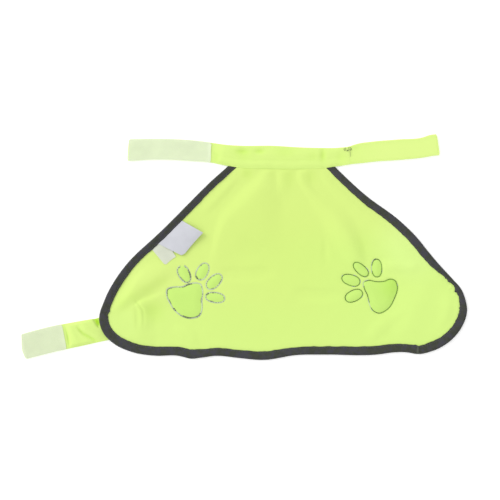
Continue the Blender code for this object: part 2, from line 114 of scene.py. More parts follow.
# Soft ridges and troughs in the panel, each along a crest line. A row gives a point of it, how far the cloth
# falls away to the right and to the left of the way that it runs, and its height, below zero in a trough.
CREASES = (
    # x, y, right, left, high
    (  # beside the left slope
        (-9, 90, 5, 8, 0), (-17.6, 80.6, 7, 9, 1.1), (-30.7, 66.7, 8, 10, 1.1), (-43, 52.7, 8, 10, 0.8),
        (-56, 40, 8, 10, 0),
    ),
    (  # long left sweep
        (29, 98, 11, 9, 0.8), (26.5, 85, 13, 17, 1.4), (21, 74.5, 17, 34, 2.2), (9, 60.5, 20, 55, 2.5),
        (-6, 45, 19, 75, 2.3), (-19, 33, 16, 72, 1.9), (-27.5, 16, 12, 55, 1.4), (-32, 2, 10, 42, 1),
        (-35, -14, 10, 30, 0.5), (-38, -30, 10, 30, 0),
    ),
    # gathers at the neck
    ((-1.5, 98, 9, 8, 0.5), (-1.5, 92, 9, 8, 0.5), (-2.5, 86, 8, 7, 0)),
    ((45.5, 98, 8, 13, 0.7), (46, 84, 9, 14, 0.8), (46, 73, 10, 13, 0.6), (43, 60, 9, 12, 0)),
    (  # long right sweep
        (70, 98, 8, 14, 0.9), (70.5, 83, 8, 13, 1.1), (76, 73, 8, 9, 1.1), (87, 61, 12, 8, 1),
        (96, 52.5, 16, 12, 1.2), (106, 41, 19, 17, 1.8), (116.5, 27, 22, 20, 2.5), (127, 9, 22, 18, 2.7),
        (136, -8, 18, 14, 1.9), (145, -26, 12, 9, 0),
    ),
    (  # beside the right slope
        (97, 98, 9, 6, 0.9), (104, 82, 10, 8, 0.9), (118, 68, 12, 10, 0.9), (137, 54, 16, 12, 1),
        (160, 38, 22, 13, 1.1), (182, 18, 26, 14, 1.1), (200, -2, 24, 14, 1), (211, -16, 18, 12, 0.7),
        (222, -32, 14, 8, 0),
    ),
    (  # from the left corner up to the label
        (-172, -75.5, 9, 14, 1.8), (-162, -70, 12, 22, 2.2), (-149, -61.5, 16, 32, 2.4),
        (-134.5, -52, 18, 36, 2.8), (-119.5, -42, 18, 32, 2.6), (-107, -33.5, 17, 24, 1.9),
        (-95, -27, 15, 17, 1.1), (-83, -23, 12, 12, 0),
    ),
    (  # its lower neighbour
        (-130, -69.5, 10, 4, 0.6), (-122, -66.5, 16, 6, 1.2), (-112, -63, 20, 6, 1.2),
        (-102, -59, 18, 6, 0.7), (-94, -56, 14, 6, 0),
    ),
    (  # where the belly strap ends under the cloth
        (-131.5, -65.5, 2.5, 3, 0.4), (-128.5, -70, 4.5, 12, 1), (-126, -75, 6, 18, 1.2),
        (-125, -84, 6, 20, 0.9), (-125, -93, 5, 18, 0.6), (-125.5, -101, 5, 12, 0),
    ),
    (
        (-135, -77, 10, 2.6, 0.2), (-134.4, -84, 16, 2.8, 0.35), (-134.2, -92, 16, 2.8, 0.35),
        (-134, -98, 12, 3, 0.15), (-133.5, -104, 10, 3, 0),
    ),
    (
        (-133.5, -63, 2.4, 2.4, 0), (-130.6, -67, 2.4, 2.8, -1.2), (-127.4, -71.3, 2.4, 3, -1.3),
        (-124.3, -75.4, 2.4, 3.4, -0.8), (-123.2, -82, 2.4, 4, -0.4), (-123.2, -91, 2.4, 4, -0.3),
        (-123.5, -100, 2, 3, 0),
    ),
    (  # right corner
        (226, -36, 10, 12, 0), (220, -46, 13, 15, 0.3), (217, -60, 15, 17, 0.35), (211, -74, 14, 16, 0.3),
        (205, -90, 12, 13, 0.25), (202, -106, 10, 10, 0),
    ),
    (
        (248, -52, 10, 6, 0), (250, -66, 14, 7, 0.5), (249, -80, 16, 8, 0.6), (243, -94, 14, 8, 0.4),
        (234, -104, 10, 8, 0),
    ),
    (
        (249.5, -40.5, 2, 2.5, -0.3), (252, -45, 2.2, 3, -0.8), (253.6, -50, 2, 2.5, -0.3),
        (254, -54, 2, 2, 0),
    ),
    (
        (196, -74, 8, 8, 0), (184, -83, 9, 10, 0.5), (171, -92, 11, 13, 0.7), (161, -102, 13, 14, 0.7),
        (156, -112, 13, 12, 0.5), (154, -122, 10, 10, 0),
    ),
    (
        (166, -19, 8, 8, 0), (178, -22, 11, 10, 0.9), (192, -24, 11, 10, 0.9), (206, -24, 10, 9, 0.6),
        (214, -22, 8, 8, 0),
    ),
    (  # the middle and the hem
        (-32, -31, 12, 10, 0), (-22, -31.5, 14, 11, -0.8), (0, -32, 14, 11, -0.9), (22, -31, 14, 11, -0.8),
        (38, -30, 12, 10, 0),
    ),
    (
        (56, -55, 12, 9, 0), (72, -56, 13, 10, -0.7), (98, -57, 13, 10, -0.7), (118, -57, 12, 10, -0.4),
        (130, -56, 10, 8, 0),
    ),
    ((97, 16, 7, 7, 0), (98.5, 4, 7, 7, -0.4), (99, -10, 7, 7, -0.4), (100, -26, 7, 7, 0)),
    (
        (-86, -92, 10, 10, 0), (-76, -101, 12, 12, 0.6), (-67, -108, 12, 12, 0.8), (-62, -118, 10, 10, 0.8),
        (-60, -127, 8, 8, 0),
    ),
)

# Round areas with the sharpest of these creases, each with its reach
FINE_CREASES = ((-128, -79, 19), (249, -46, 7))

# Hollows, which dip the shells and get painted shade: in the upper part of the neck strap, then in the panel,
# between its gathers and by its creases
DIMPLES = (
    # x, y, long, tall, deep
    (-2.7, 117.2, 8, 3.4, 1), (18.3, 117.2, 6, 3, 1), (0, 112, 10, 6, 0.35), (49.5, 116, 12, 5.5, 0.35),
    (95.6, 112.5, 3.4, 7.5, 0.9), (84, 111, 6, 5, 0.3), (119, 110, 6, 5.5, 0.4), (-34.5, 109.5, 3, 6, 0.4),
    (135, 121.5, 5, 2.5, 0.5),
)
GATHER_HOLLOWS = (
    (3, 91, 7, 7, 0.3), (34, 90, 4.5, 7, 0.1), (54.5, 86, 8.5, 12, 0.2), (80, 87, 8.5, 9, 0.22),
    (-150, -68, 10, 7, 0.25), (-134, -60, 10, 8, 0.25), (-118, -51, 10, 8, 0.25), (-102, -42, 10, 7, 0.2),
    (-112, -77, 14, 13, 0.4), (144, 4, 8, 14, 0.12), (-148, -48, 17, 16, 0.12),
)

# Painted shade, in the same columns: where a paw's pad slopes away from the light, and where the belly strap
# dips
PAD_SHADES = ((181, -44, 15, 20, 0.35),)
BELLY_SHADES = ((-178.8, -91, 2.8, 4.2, 0.9), (-183, -87, 3, 2.6, 0.35))

# Creases across the belly strap between its hook tape and the binding, in the same columns as CREASES
BELLY_CREASES = (
    # x, y, right, left, high
    (
        (-205.5, -95.5, 2, 2, 0), (-201.5, -100, 2.2, 2.2, -1.4), (-196.5, -105, 2.8, 2.8, -1.7),
        (-189.5, -109, 2.8, 2.8, -1.7), (-182.5, -113, 2.2, 2.2, -1.4), (-178, -115, 2, 2, 0),
    ),
    (
        (-200, -93, 4, 5, 0), (-195, -99, 5, 7, 0.9), (-188, -104, 5, 8, 1), (-180, -108, 5, 7, 0.8),
        (-172, -112, 3, 4, 0),
    ),
    ((-214, -96, 5, 6, 0), (-210, -104, 5, 6, 0.6), (-205, -112, 5, 6, 0.6), (-200, -119, 5, 6, 0)),
    (
        (-219.4, -95, 1.8, 2.4, -0.3), (-216.8, -103, 2, 2.6, -1), (-215, -111, 2.2, 2.8, -1.6),
        (-213.9, -117, 2.2, 2.8, -1.1), (-213.4, -121, 2, 2.4, -0.5),
    ),
    (
        (-186, -84.5, 3, 3, -1.4), (-182, -88.5, 3.4, 4, -2.8), (-178.8, -92.8, 3.4, 4, -2.8),
        (-176.8, -98.5, 2.4, 2.8, 0),
    ),
)

# Labels caught in the binding: the two corners at the tape, then the two free ones beside them
CARE_LABEL = ((-96, 10), (-112, -3.3), (-96.6, -21.8), (-83.6, -11.2))
WOVEN_LABEL = ((-75, 31.5), (-104.1, 3.4), (-75, -10.5), (-50.4, 18.1))
LABEL_CURL = 3.6
LABEL_HOLLOW = 0.6  # how far a label's free edge bows in
LABEL_ROUND = 2.4  # and its outer corner is bent back
LABEL_CORNER = 0.15  # over this share of its width
LABEL_WAVE = 0.66  # how much of half a wave its curl is
LABEL_STEEP = 1.4
LABEL_LOW_SIDE = 0.45  # the share of its curl on the side of the bent corner
LABEL_HIGH_SIDE = 0.75  # and how much more there is on the other side
LABEL_SIDE_REACH = 0.75

# The paws' toes are rounded ovals, and the taper narrows the end that turn points to
LEFT_TOES = (
    # x, y, long, wide, turn, taper
    (-73.3, -32.4, 10.9, 6.7, 118, -0.1), (-51.1, -29.2, 10.8, 6.7, 62, 0.08),
    (-36.8, -41.5, 11.4, 6.6, 44, 0.05), (-35.7, -61, 11.6, 6, -8, 0),
)
RIGHT_TOES = (
    (161.3, -25.1, 11.3, 6.5, 92, 0), (141.8, -26.6, 11.6, 6, 138, 0.05),
    (129.7, -39.7, 11.8, 6.9, 162, 0.08), (133.4, -58.8, 11.6, 7.1, 205, 0),
)
TOE_SQUARENESS = 0.88
# A pad: its middle, its size and the way it points, then (angle from that way, reach) round its edge
LEFT_PAD = (-71.9, -64.1, 26.4, 46)
LEFT_PAD_REACH = (
    (0, 1), (32, 0.76), (58, 0.63), (82, 0.76), (103, 0.98), (122, 0.87), (146, 0.72), (170, 0.68),
    (215, 0.76), (242, 0.88), (267, 0.96), (288, 0.84), (312, 0.75), (337, 0.86),
)
RIGHT_PAD = (165.5, -56.7, 25.1, 143)
RIGHT_PAD_REACH = (
    (2, 0.99), (18, 0.83), (42, 0.64), (78, 0.7), (102, 0.88), (121, 0.95), (151, 0.84), (202, 0.74),
    (241, 0.93), (260, 0.99), (273, 0.9), (291, 0.66), (325, 0.65), (347, 0.89),
)

# Spots on the paws' outlines, each with its reach: where the dark thread and the painted groove shade show
# most, and one that was missed
LEFT_DARK = (
    # x, y, reach
    (-65.8, -33, 6.5), (-45.7, -55.5, 3), (-67.5, -45.5, 4.5), (-60, -37, 4), (-70, -84.5, 6),
    (-88, -77, 5),
)
RIGHT_DARK = (
    (138.7, -51, 5), (148.6, -55.6, 3.5), (162.3, -79.3, 4), (161.7, -14, 4), (120.5, -63, 5),
    (134, -51.5, 4), (183, -62, 5), (125, -33, 4),
)
RIGHT_PALE = ((146, -42, 6), (152.5, -70, 8), (154.5, -24.5, 6))
MISSED = (-76, -23, 3)
OUTLINE_SPREAD = 97  # keeps each outline's unevenness apart from the next one's
THREAD_LIFT = 0.3  # how far off the cloth the middle of the paws' thread lies, in radii

# Where the straps' tapes and layers start and end, along X
NECK_HOOK_ENDS = (-141.2, -40.8)
NECK_LOOP_ENDS = (125.5, 235.8)
BELLY_HOOK_ENDS = (-269.4, -219.6)
STRAP_THICKENS = (-38, -25)
STRAP_CLIMBS = (113.5, 124.5)
TAPE_MARGIN = 0.4
FIELD_INSET = 1.6  # the hooks and the pile, from the edge of their tape
ROOT_DEPTH = 0.05  # how deep they stand in it
BOX_ENDS = (127, 234.4)  # the stitches across the neck strap's end
BELLY_STITCHED = (-218.6, -181)

# Thicknesses of the real cloths and threads
CLOTH = 0.4
STRAP_CLOTH = 0.3
PLY = 0.5
TAPE_BASE = 0.45
LABEL = 0.25
FILM = 0.2
PLY_STEP = 0.38  # from one ply of a strap to the next
FILM_GAP = 0.06
THREAD = 0.3  # radius
UNDER_THREAD = 0.15
UNDER_SUNK = 0.14  # how deep the thread on the lower leaf beds in
TANGLE_THREAD = 0.16
PALE_THREAD = 0.25
# the radius of the dark lines of painted groove shade inside the paws' outlines
DARK_LINE = 0.46

# The pitch of each row of stitches, and the share of it that the thread shows
BINDING_LAY = (3.3, 0.78)
STRAP_LAY = (3, 0.8)
TAPE_LAY = (2.8, 0.8)
HEM_STITCHED = 2.2  # a strap's stitches, from its open edge
FOLD_STITCHED = 2.6  # and from its folded edge
BOX_INSET = 2.4
TAPE_STITCHED = 1.3  # a hook tape's stitches, from its sides
TAPE_ENDS_STITCHED = 0.9

# A stitch: its share along, and its rise and width in radii. A hook and a loop of pile: the way on and up
STITCH = ((0, -0.7, 0.55), (0.18, 0.25, 0.95), (0.5, 0.5, 1), (0.82, 0.25, 0.95), (1, -0.7, 0.55))
HOOK = ((-0.30, 0), (-0.34, 0.45), (-0.16, 0.86), (0.18, 0.90), (0.34, 0.52))
PILE = ((-0.45, 0), (-0.50, 0.45), (-0.05, 0.72), (0.42, 0.50), (0.40, 0.05))

# Loose dark thread where the neck strap's seam was locked off: points of each thread's way
TANGLE = (
    (
        (122, 117.6), (121.3, 119.6), (122.6, 121.4), (123.9, 120.2),
        (123, 118.6), (124.4, 117.6), (125.7, 118.3),
    ),
    (
        (125.9, 118.9), (125.2, 118), (126.4, 117.8), (126.2, 119.6),
        (126.8, 121.6), (128.9, 122.1), (130.3, 120.4),
    ),
    (
        (130.4, 120.9), (129.4, 119.2), (130.7, 119.3), (129.7, 120.3),
        (128.2, 119.8), (127.6, 118.2), (126.5, 118.6),
    ),
    (
        (130.1, 119.2), (129, 117.9), (128.5, 116.4), (129, 114.8),
        (128.7, 113.2), (129, 111.8), (128.8, 110.8),
    ),
)

# How a tape's hooks and loops stray along and across, lean and differ in length
NAP_STRAY = (0.12, 0.1)
NAP_LEAN = 0.25
NAP_SHORTEST = 0.88

# Heights of the shells
PANEL_REST = 0.6  # the panel's lower face where it touches what is under it
SLACK = 0.45  # and how much higher it lies on the whole
RUMPLE = 0.35  # its slight unevenness
PUFF = 0.75  # how the cloth domes inside a sewn outline
PUFF_REACH = 9
SEWN_DIP = 0.35
SEWN_DIP_REACH = 1.1
THREAD_DRAW = 0.12
THREAD_DRAW_REACH = 2.4
THREAD_DRAW_PITCH = 1.9
PUCKER = 0.22
PUCKER_BUNCHED = 0.25
PUCKER_PITCH = 2.3
PUCKER_START = 2.5  # how far from the tape the puckers are whole
PUCKER_FADE = 5
PLEAT = 0.35
PLEAT_PITCH = 4.2
PLEAT_LENGTH = 14
NECK_DIP = 0.2  # how much lower the panel lies in the neck seam
NECK_DIP_REACH = 12
GATHER_DEPTH = 0.3  # how deep the hollows between the gathers are
LOWER_PLY = 0.25
PRESSED_TOP = 1.55  # the middle of a pressed strap's upper ply
BAND_TOP = 2.7  # the middle of the neck strap's upper ply, over the gathered edge
BAND_EDGE = 1.95
STRAP_TOP = 2.8  # and above its seam
STRAP_BULGE = 1.3  # how the belly strap's free part rises
BULGE_FROM = (-219, 9)  # x where its rise starts, and how long it takes
BULGE_FALL = 26  # how far from the vest's edge it is whole again
CREASED_FROM = (-222, 4)  # the same for its creases
BULGE_EDGE = 4  # how far from the strap's own edges
EDGE_CREASED = 0.35  # what is left of its creases at its edges
STRAP_SWELL = 0.45  # how the neck strap swells above its seam, and where
STRAP_SWELL_AT = 18
STRAP_SWELL_REACH = 9
STRAP_STRAY = 0.12  # how uneven it is, and where it is pressed flat
PRESSED_STRAY = 0.05
SEAM_AT = 11.3  # the neck strap's seam above its lower edge
SEAM_BLEND = 14  # across the seam, from the height below it to the one above
BAND_MIDDLE = 6  # the middle of what is below the seam
BAND_STRAY = 0.22
ON_HOOK_STRAP = 1.78  # a hook tape's lower face
LOOP_BOTTOM = 0.9
BINDING_LOW = 0.33
BINDING_CROWN = 3.9
BINDING_EDGE = 2.3
BINDING_ROUND = 1.9
BINDING_SLOPE = 1.7  # how late its upper leaf falls away
BINDING_STRAY = 0.26  # how its inner edge strays, and how ragged it is
BINDING_RAGGED = 0.2
SCALLOP_PITCH = 5.2
SCALLOP_STRAY = 0.35
SCALLOP_OUT = 0.2
SCALLOP_DEPTH = 0.7
CROWN_STRAY = 0.22
BUNCHED_RISE = 0.5
STITCH_DIP = 0.22  # how its stitches draw it down
STITCH_DIP_REACH = 0.8
STITCH_STRAY = 0.12
STITCHED_IN = 1.6  # the binding's stitches, from its inner edge
END_PRESS = 0.30  # how much flatter the binding is at its ends, in the neck strap
END_PRESS_LENGTH = 14
UNDER_SHORT = 0.9  # how much less far in its lower leaf reaches

# Shapes of the sections
NECK_TUCK = 10
LEAN_LENGTH = 32
SEAM_ROUNDS = 6
EDGE_SHELF = 1.5
EDGE_FALL = 14
NECK_SHELF = 0.4
NECK_FALL = 4.5
LIFT_SHELF = 2
LIFT_FALL = 26
RIM_INSET = 1.6
END_ROUND = 1.1
END_REACH = 12
NECK_SKEW = (0.11, -0.06)
NECK_HOOK_SKEW = (0.11, -0.12)
BELLY_SKEW = (0.05, 0)
BELLY_HOOK_SKEW = (0.05, 0)
BELLY_BOW = 2.2  # how far its free end bows out
HOOK_MARGIN = -0.25
STRAP_HEM = 5
HEM_TURN = 0.35  # where a strap's hem turns, and its fold, in from the edges of its width
FOLD_TURN = 0.9
FOLD_BULGE = 0.65  # how far its fold bows out at most
BACK_INSET = 0.6  # where its lower ply ends
FILM_MARGIN = 1.3
SHARP = 0.9

# Colours
PAINTED_HOLLOW_SHADE = (0.64, 0.84, 0.16)  # painted shade: cloth in a hollow is painted darker and more of its own colour
LAP_HIGHLIGHT = 2.4  # how much lighter the lap's cut edge is painted, a painted highlight

# The stage
PHOTO_WIDTH = 610  # what the photo's frame takes in
PHOTO_MIDDLE = (6.77, -3.05)
CAMERA_HEIGHT = 3000
SENSOR = 36
SKY_STRENGTH = 0.90
SUN_STRENGTH = 1.62
SUN_WIDTH = 34  # in degrees
SUN_WAY = (0.85, -0.53, -0.532)
FLOOR_SIZE = 8000
FLOOR_DROP = 0.1

# Mesh spacing
CURVE_STEPS = 8
EDGE_STEP = 8
PANEL_STEP = 2.2
PAW_STEP = 1.15
PAW_REACH = 3.2
BINDING_STEP = 1.25
BAND_STEP = 1.3
BELLY_STEP = 0.9
FILM_STEP = 1
LABEL_POINTS = 25
HEX_ROW = 0.866
CHUNK = 4000


def smooth(t):
    """0 before t = 0, 1 after t = 1, and an even S between them."""
    t = np.clip(t, 0, 1)
    return t * t * (3 - 2 * t)


def bump(t):
    """A raised cosine: 1 at t = 0 and 0 from t = 1 on, to both sides."""
    return 0.5 + 0.5 * np.cos(np.pi * np.clip(np.abs(t), 0, 1))


def fade(gap, reach):
    """1 where the gap is 0, and 0.37 where it is as far as the reach."""
    return np.exp(-((gap / reach) ** 2))


def wander(s, step, seed):
    """A smooth uneven line between -1 and 1 with a knot every step along s."""
    knots = np.random.default_rng(seed).uniform(-1, 1, 2048)
    at = np.asarray(s, float) / step + 1024
    low = np.floor(at).astype(int)
    share = smooth(at - low)
    return knots[low] * (1 - share) + knots[low + 1] * share


def unit(vectors):
    return vectors / np.linalg.norm(vectors, axis=-1, keepdims=True)


def side_of(along):
    """The directions to the left of plan directions."""
    return np.stack([-along[..., 1], along[..., 0]], axis=-1)


def raised(plan, height):
    """Points over plan points at these heights."""
    return np.concatenate([plan, np.broadcast_to(height, plan.shape[:-1])[..., None]], axis=-1)


def distances(path):
    """How far along a path each of its points is, in plan."""
    return np.append(0, np.cumsum(np.hypot(*np.diff(path[:, :2], axis=0).T)))


def curve_through(rows):
    """Points of a smooth curve through the rows. Every column is carried along it."""
    rows = np.array(rows, float)
    knots = distances(rows)
    slopes = np.gradient(rows, knots, axis=0)
    points = []
    for i, span in enumerate(np.diff(knots)):
        for t in np.arange(CURVE_STEPS) / CURVE_STEPS:
            s = smooth(t)
            start = (1 - s) * rows[i] + t * (1 - t) ** 2 * span * slopes[i]
            points.append(start + s * rows[i + 1] - t * t * (1 - t) * span * slopes[i + 1])
    return np.array(points + [rows[-1]])


def gaps_to(path, plan):
    """(distance, piece, share along it) of the closest spot on a path of points, for each plan point."""
    runs = np.diff(path, axis=0)
    found = []
    for first in range(0, len(plan), CHUNK):
        offsets = plan[first : first + CHUNK, None, :] - path[:-1]
        share = np.clip((offsets * runs).sum(2) / (runs * runs).sum(1), 0, 1)
        gaps = np.linalg.norm(offsets - share[:, :, None] * runs, axis=2)
        piece = gaps.argmin(axis=1)
        picked = np.arange(len(piece)), piece
        found.append(np.stack([gaps[picked], piece, share[picked]]))
    gaps, piece, share = np.concatenate(found, axis=1)
    return gaps, piece.astype(int), share


class Line:
    """A smooth plan curve with a width, read by the distance along it."""

    def __init__(self, rows):
        self.points = curve_through(rows)
        self.at = distances(self.points)
        self.length = self.at[-1]
        self.along = unit(np.gradient(self.points[:, :2], self.at, axis=0))

    def stations(self, step):
        return np.linspace(0, self.length, round(self.length / step) + 1)

    def read(self, s):
        """(points, directions, widths) at distances s. It goes on straight past its ends."""
        x, y, width = (np.interp(s, self.at, column) for column in self.points.T)
        along = unit(np.stack([np.interp(s, self.at, column) for column in self.along.T], axis=-1))
        past = np.asarray(s - np.clip(s, 0, self.length))
        return np.stack([x, y], axis=-1) + along * past[..., None], along, width

    def plan_of(self, s, up):
        """Plan points at distances s, up from the right edge of the line's width."""
        point, along, width = self.read(s)
        return point + side_of(along) * (up - width / 2)[..., None]

    def at_x(self, x):
        """Distance along a line whose x only grows, where it passes x."""
        return np.interp(x, self.points[:, 0], self.at)

    def nearest(self, plan):
        """(distance, distance along, width there) of the closest point of the line, for each plan point."""
        gaps, piece, share = gaps_to(self.points[:, :2], plan)
        s = self.at[piece] + share * np.diff(self.at)[piece]
        return gaps, s, np.interp(s, self.at, self.points[:, 2])

    def place(self, s, aside, height):
        """Points at distances s along the line, aside to its left and at these heights."""
        s, aside, height = np.broadcast_arrays(s, aside, height)
        point, along, _ = self.read(s)
        return raised(point + side_of(along) * aside[..., None], height)


EDGE, NECK, BELLY, LOOP = (Line(rows) for rows in (OUTLINE, NECK_STRAP, BELLY_STRAP, BELLY_LOOP))
NECK_LOWER = NECK.points[:, :2] - side_of(NECK.along) * NECK.points[:, 2:] / 2


def neck_seam(x):
    """y of the neck strap's lower edge, where the gathers come out of it."""
    return np.interp(x, *NECK_LOWER.T)


def edge_point(s, inset):
    """Plan points inset from the vest's outer edge at distances s. Both ends lie along the neck seam."""
    s, inset = np.broadcast_arrays(np.asarray(s, float), inset)
    end = np.where(s < EDGE.length / 2, 0, EDGE.length)
    corner, out, _ = EDGE.read(end)
    corner = corner + side_of(out) * inset[..., None]
    pull = np.zeros(s.shape)
    for _ in range(SEAM_ROUNDS):
        spot = corner + out * pull[..., None]
        pull = pull + (neck_seam(spot[..., 0]) - SEAM_GAP / 2 - spot[..., 1]) / out[..., 1]
    lean = np.clip(1 - np.abs(s - end) / LEAN_LENGTH, 0, None)
    point, along, _ = EDGE.read(s)
    return point + side_of(along) * inset[..., None] + along * (pull * lean)[..., None]


def outline_of(line, spare):
    """A closed ring of plan points round a strap or tape, spare outside it."""
    point, along, width = line.read(line.stations(EDGE_STEP))
    point[0] -= along[0] * spare
    point[-1] += along[-1] * spare
    aside = side_of(along) * (width / 2 + spare)[:, None]
    return np.vstack((point - aside, (point + aside)[::-1]))


def inside(ring, plan):
    """Which plan points a closed ring holds, by counting its crossings to the right."""
    x, y = plan.T
    odd = np.zeros(len(plan), bool)
    for (x0, y0), (x1, y1) in zip(ring, np.roll(ring, -1, axis=0)):
        crosses = (y0 > y) != (y1 > y)
        odd ^= crosses & (x < x0 + (y - y0) * (x1 - x0) / (y1 - y0 or 1))
    return odd


def outside(ring, plan):
    """How far plan points are outside a closed ring, below zero inside it."""
    flat = plan.reshape(-1, 2)
    gap = gaps_to(np.vstack((ring, ring[:1])), flat)[0]
    return np.where(inside(ring, flat), -gap, gap).reshape(plan.shape[:-1])


UNDER_CLOTH = ((outline_of(BELLY, LIFT_SHELF), ON_STRAP), (outline_of(LOOP, LIFT_SHELF), ON_TAPE))


def lift(plan):
    """How far the strap and the tape that are sewn under the cloth raise it."""
    return np.maximum(*(rise * (1 - smooth(outside(ring, plan) / LIFT_FALL)) for ring, rise in UNDER_CLOTH))


def crest_heights(creases, plan):
    """The height that the creases give each plan point."""
    height = np.zeros(len(plan))
    for rows in creases:
        crest = curve_through(rows)
        gaps, piece, share = gaps_to(crest[:, :2], plan)
        run = np.diff(crest, axis=0)[piece]
        x, y, right, left, high = (crest[piece] + share[:, None] * run).T
        on_left = run[:, 0] * (plan[:, 1] - y) > run[:, 1] * (plan[:, 0] - x)
        height += high * bump(gaps / np.where(on_left, left, right))
    return height


def hollows(rows, plan):
    """How deep the hollows in the rows are at each plan point."""
    deep = np.zeros(plan.shape[:-1])
    for x, y, long, tall, most in rows:
        deep += most * np.exp(-(((plan[..., 0] - x) / long) ** 2) - ((plan[..., 1] - y) / tall) ** 2)
    return deep


def rumple(plan):
    """The slight unevenness of cloth that lies loose, from 0 to 1."""
    rng = np.random.default_rng(11)
    height = np.zeros(len(plan))
    for length in (95, 70, 52, 38, 27, 19):
        turn, phase = rng.uniform(0, 2 * np.pi, 2)
        across = plan @ np.array([np.cos(turn), np.sin(turn)])
        height += length**0.7 * np.sin(2 * np.pi * across / length + phase + 0.8 * wander(across, length, 5))
    return 0.5 + 0.5 * height / np.abs(height).max()


def toe_ring(x, y, long, wide, turn, taper):
    angle = np.linspace(0, 2 * np.pi, 49)[:-1]
    along, across = (np.sign(v) * np.abs(v) ** TOE_SQUARENESS for v in (np.cos(angle), np.sin(angle)))
    along, across = long * along, wide * across * (1 - taper * np.cos(angle))
    c, s = math.cos(math.radians(turn)), math.sin(math.radians(turn))
    return np.stack([x + along * c - across * s, y + along * s + across * c], axis=1)


def pad_ring(pad, reaches):
    """A pad with a lobe towards the toes and one at each side of the other end."""
    x, y, size, turn = pad
    angle, reach = np.array(reaches).T
    turned = np.radians(angle + turn)
    corners = np.stack([x + size * reach * np.cos(turned), y + size * reach * np.sin(turned)], axis=1)
    rows = np.vstack((corners[-3:], corners, corners[:3]))
    return curve_through(rows)[3 * CURVE_STEPS : -2 * CURVE_STEPS - 1]


LEFT_PAW = [toe_ring(*row) for row in LEFT_TOES] + [pad_ring(LEFT_PAD, LEFT_PAD_REACH)]
RIGHT_PAW = [toe_ring(*row) for row in RIGHT_TOES] + [pad_ring(RIGHT_PAD, RIGHT_PAD_REACH)]
PAW_RINGS = LEFT_PAW + RIGHT_PAW


def paw_gap(plan):
    """How far each plan point is from the nearest of the paws' outlines, and whether it is in one."""
    off = np.array([outside(ring, plan) for ring in PAW_RINGS])
    return np.abs(off).min(axis=0), (off < 0).any(axis=0)


def coarse_gap(plan):
    """How far plan points are outside the areas whose mesh is fine, below zero inside them."""
    gaps = [np.hypot(plan[:, 0] - x, plan[:, 1] - y) - reach for x, y, reach in FINE_CREASES]
    return np.min(gaps + [paw_gap(plan)[0] - PAW_REACH], axis=0)


def station_of(x, y):
    """Distance along the vest's edge to the point of it next to x, y."""
    return EDGE.nearest(np.array([(x, y)]))[1][0]


BUNCHED_FROM = station_of(*BUNCHED_AT)
LAP_AT = station_of(*TAPE_LAP)
BITE_STATIONS = [(station_of(x, y), reach, deep) for x, y, reach, deep in BITES]


def bunched(s):
    """How much the binding gathers the edge up at s, from 0 to 1."""
    return bump((s - BUNCHED_FROM) / BUNCHED_REACH)


def panel_underside(plan):
    """Height of the panel's lower face: level in its seams, and laid over what is under it between them."""
    x, y = plan.T
    inset, s, tape = EDGE.nearest(plan)
    past_tape = inset - tape
    past_neck = neck_seam(x) - y
    from_edge = smooth((past_tape - EDGE_SHELF) / EDGE_FALL)
    free = np.minimum(from_edge, smooth((past_neck - NECK_SHELF) / NECK_FALL))
    gap, in_paw = paw_gap(plan)
    drawn = THREAD_DRAW * wander(x + 0.7 * y, THREAD_DRAW_PITCH, 23) * fade(gap, THREAD_DRAW_REACH)
    sewn = PUFF * smooth(gap / PUFF_REACH) * in_paw - SEWN_DIP * fade(gap, SEWN_DIP_REACH) + drawn
    loose = SLACK + crest_heights(CREASES, plan) + RUMPLE * rumple(plan)
    loose = PANEL_REST + np.maximum(loose - GATHER_DEPTH * hollows(GATHER_HOLLOWS, plan), 0)
    fading = smooth(past_tape / PUCKER_START) * np.exp(-np.clip(past_tape, 0, None) / PUCKER_FADE)
    puckers = (PUCKER + PUCKER_BUNCHED * bunched(s)) * wander(s, PUCKER_PITCH, 21) * fading
    pleats = PLEAT * (0.5 + 0.5 * wander(x, PLEAT_PITCH, 22)) * bump(past_neck / PLEAT_LENGTH)
    seam = UNDER_PANEL - NECK_DIP * bump(past_neck / NECK_DIP_REACH)
    seam = seam + pleats * smooth((past_tape + 1) / 4)
    return seam * (1 - free) + loose * free + lift(plan) + puckers + sewn


def panel_top(plan):
    return panel_underside(plan) + CLOTH


def film_bottom(plan):
    return panel_underside(plan) - FILM - FILM_GAP


def painted_lightness(plan):
    """Painted light on the panel, from 0 to 1: towards its sides, a highlight by the right slope, and over
    the strap.
    """
    x, y = plan.T
    broad = smooth(np.hypot((x - 35) / 230, (y - 5) / 210))
    slope = bump(np.hypot(x - 203, y - 2) / 62)
    strap = inside(outline_of(BELLY, 0), plan) * smooth(EDGE.nearest(plan)[0] / 20)
    return np.clip(0.45 * broad + 0.85 * slope + 0.1 * strap, 0, 1)


def greenness(plan):
    """How much greener the panel is, from 0 to 1, towards its right end and its hem."""
    x, y = plan.T
    right = (0.3 + 0.7 * smooth((x - 20) / 140)) * smooth((x + 40) / 60) * smooth((45 - y) / 60)
    return np.maximum(right, 0.7 * smooth((-40 - y) / 50))


# Meshes


def link(name, data):
    obj = bpy.data.objects.new(name, data)
    bpy.context.scene.collection.objects.link(obj)
    return obj


def new_object(name, points, faces, material, **layers):
    """A smooth-shaded mesh from points in millimetres. layers holds a number or a vector for each point."""
    mesh = bpy.data.meshes.new(name)
    mesh.from_pydata((np.asarray(points) * MM).tolist(), [], faces)
    for layer, values in layers.items():
        values = np.asarray(values, np.float32)
        kind, field = ("FLOAT", "value") if values.ndim == 1 else ("FLOAT_VECTOR", "vector")
        mesh.attributes.new(layer, kind, "POINT").data.foreach_set(field, values.ravel())
    mesh.materials.append(material)
    mesh.shade_smooth()
    mesh.set_sharp_from_angle(angle=SHARP)
    piece = link(name, mesh)
    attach(piece, "root")
    return piece


def stands_for(piece, node):
    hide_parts(node)


def doubled(**layers):
    """The layers of one face of a wall, given to both of its faces."""
    return {name: np.concatenate((values, values)) for name, values in layers.items()}


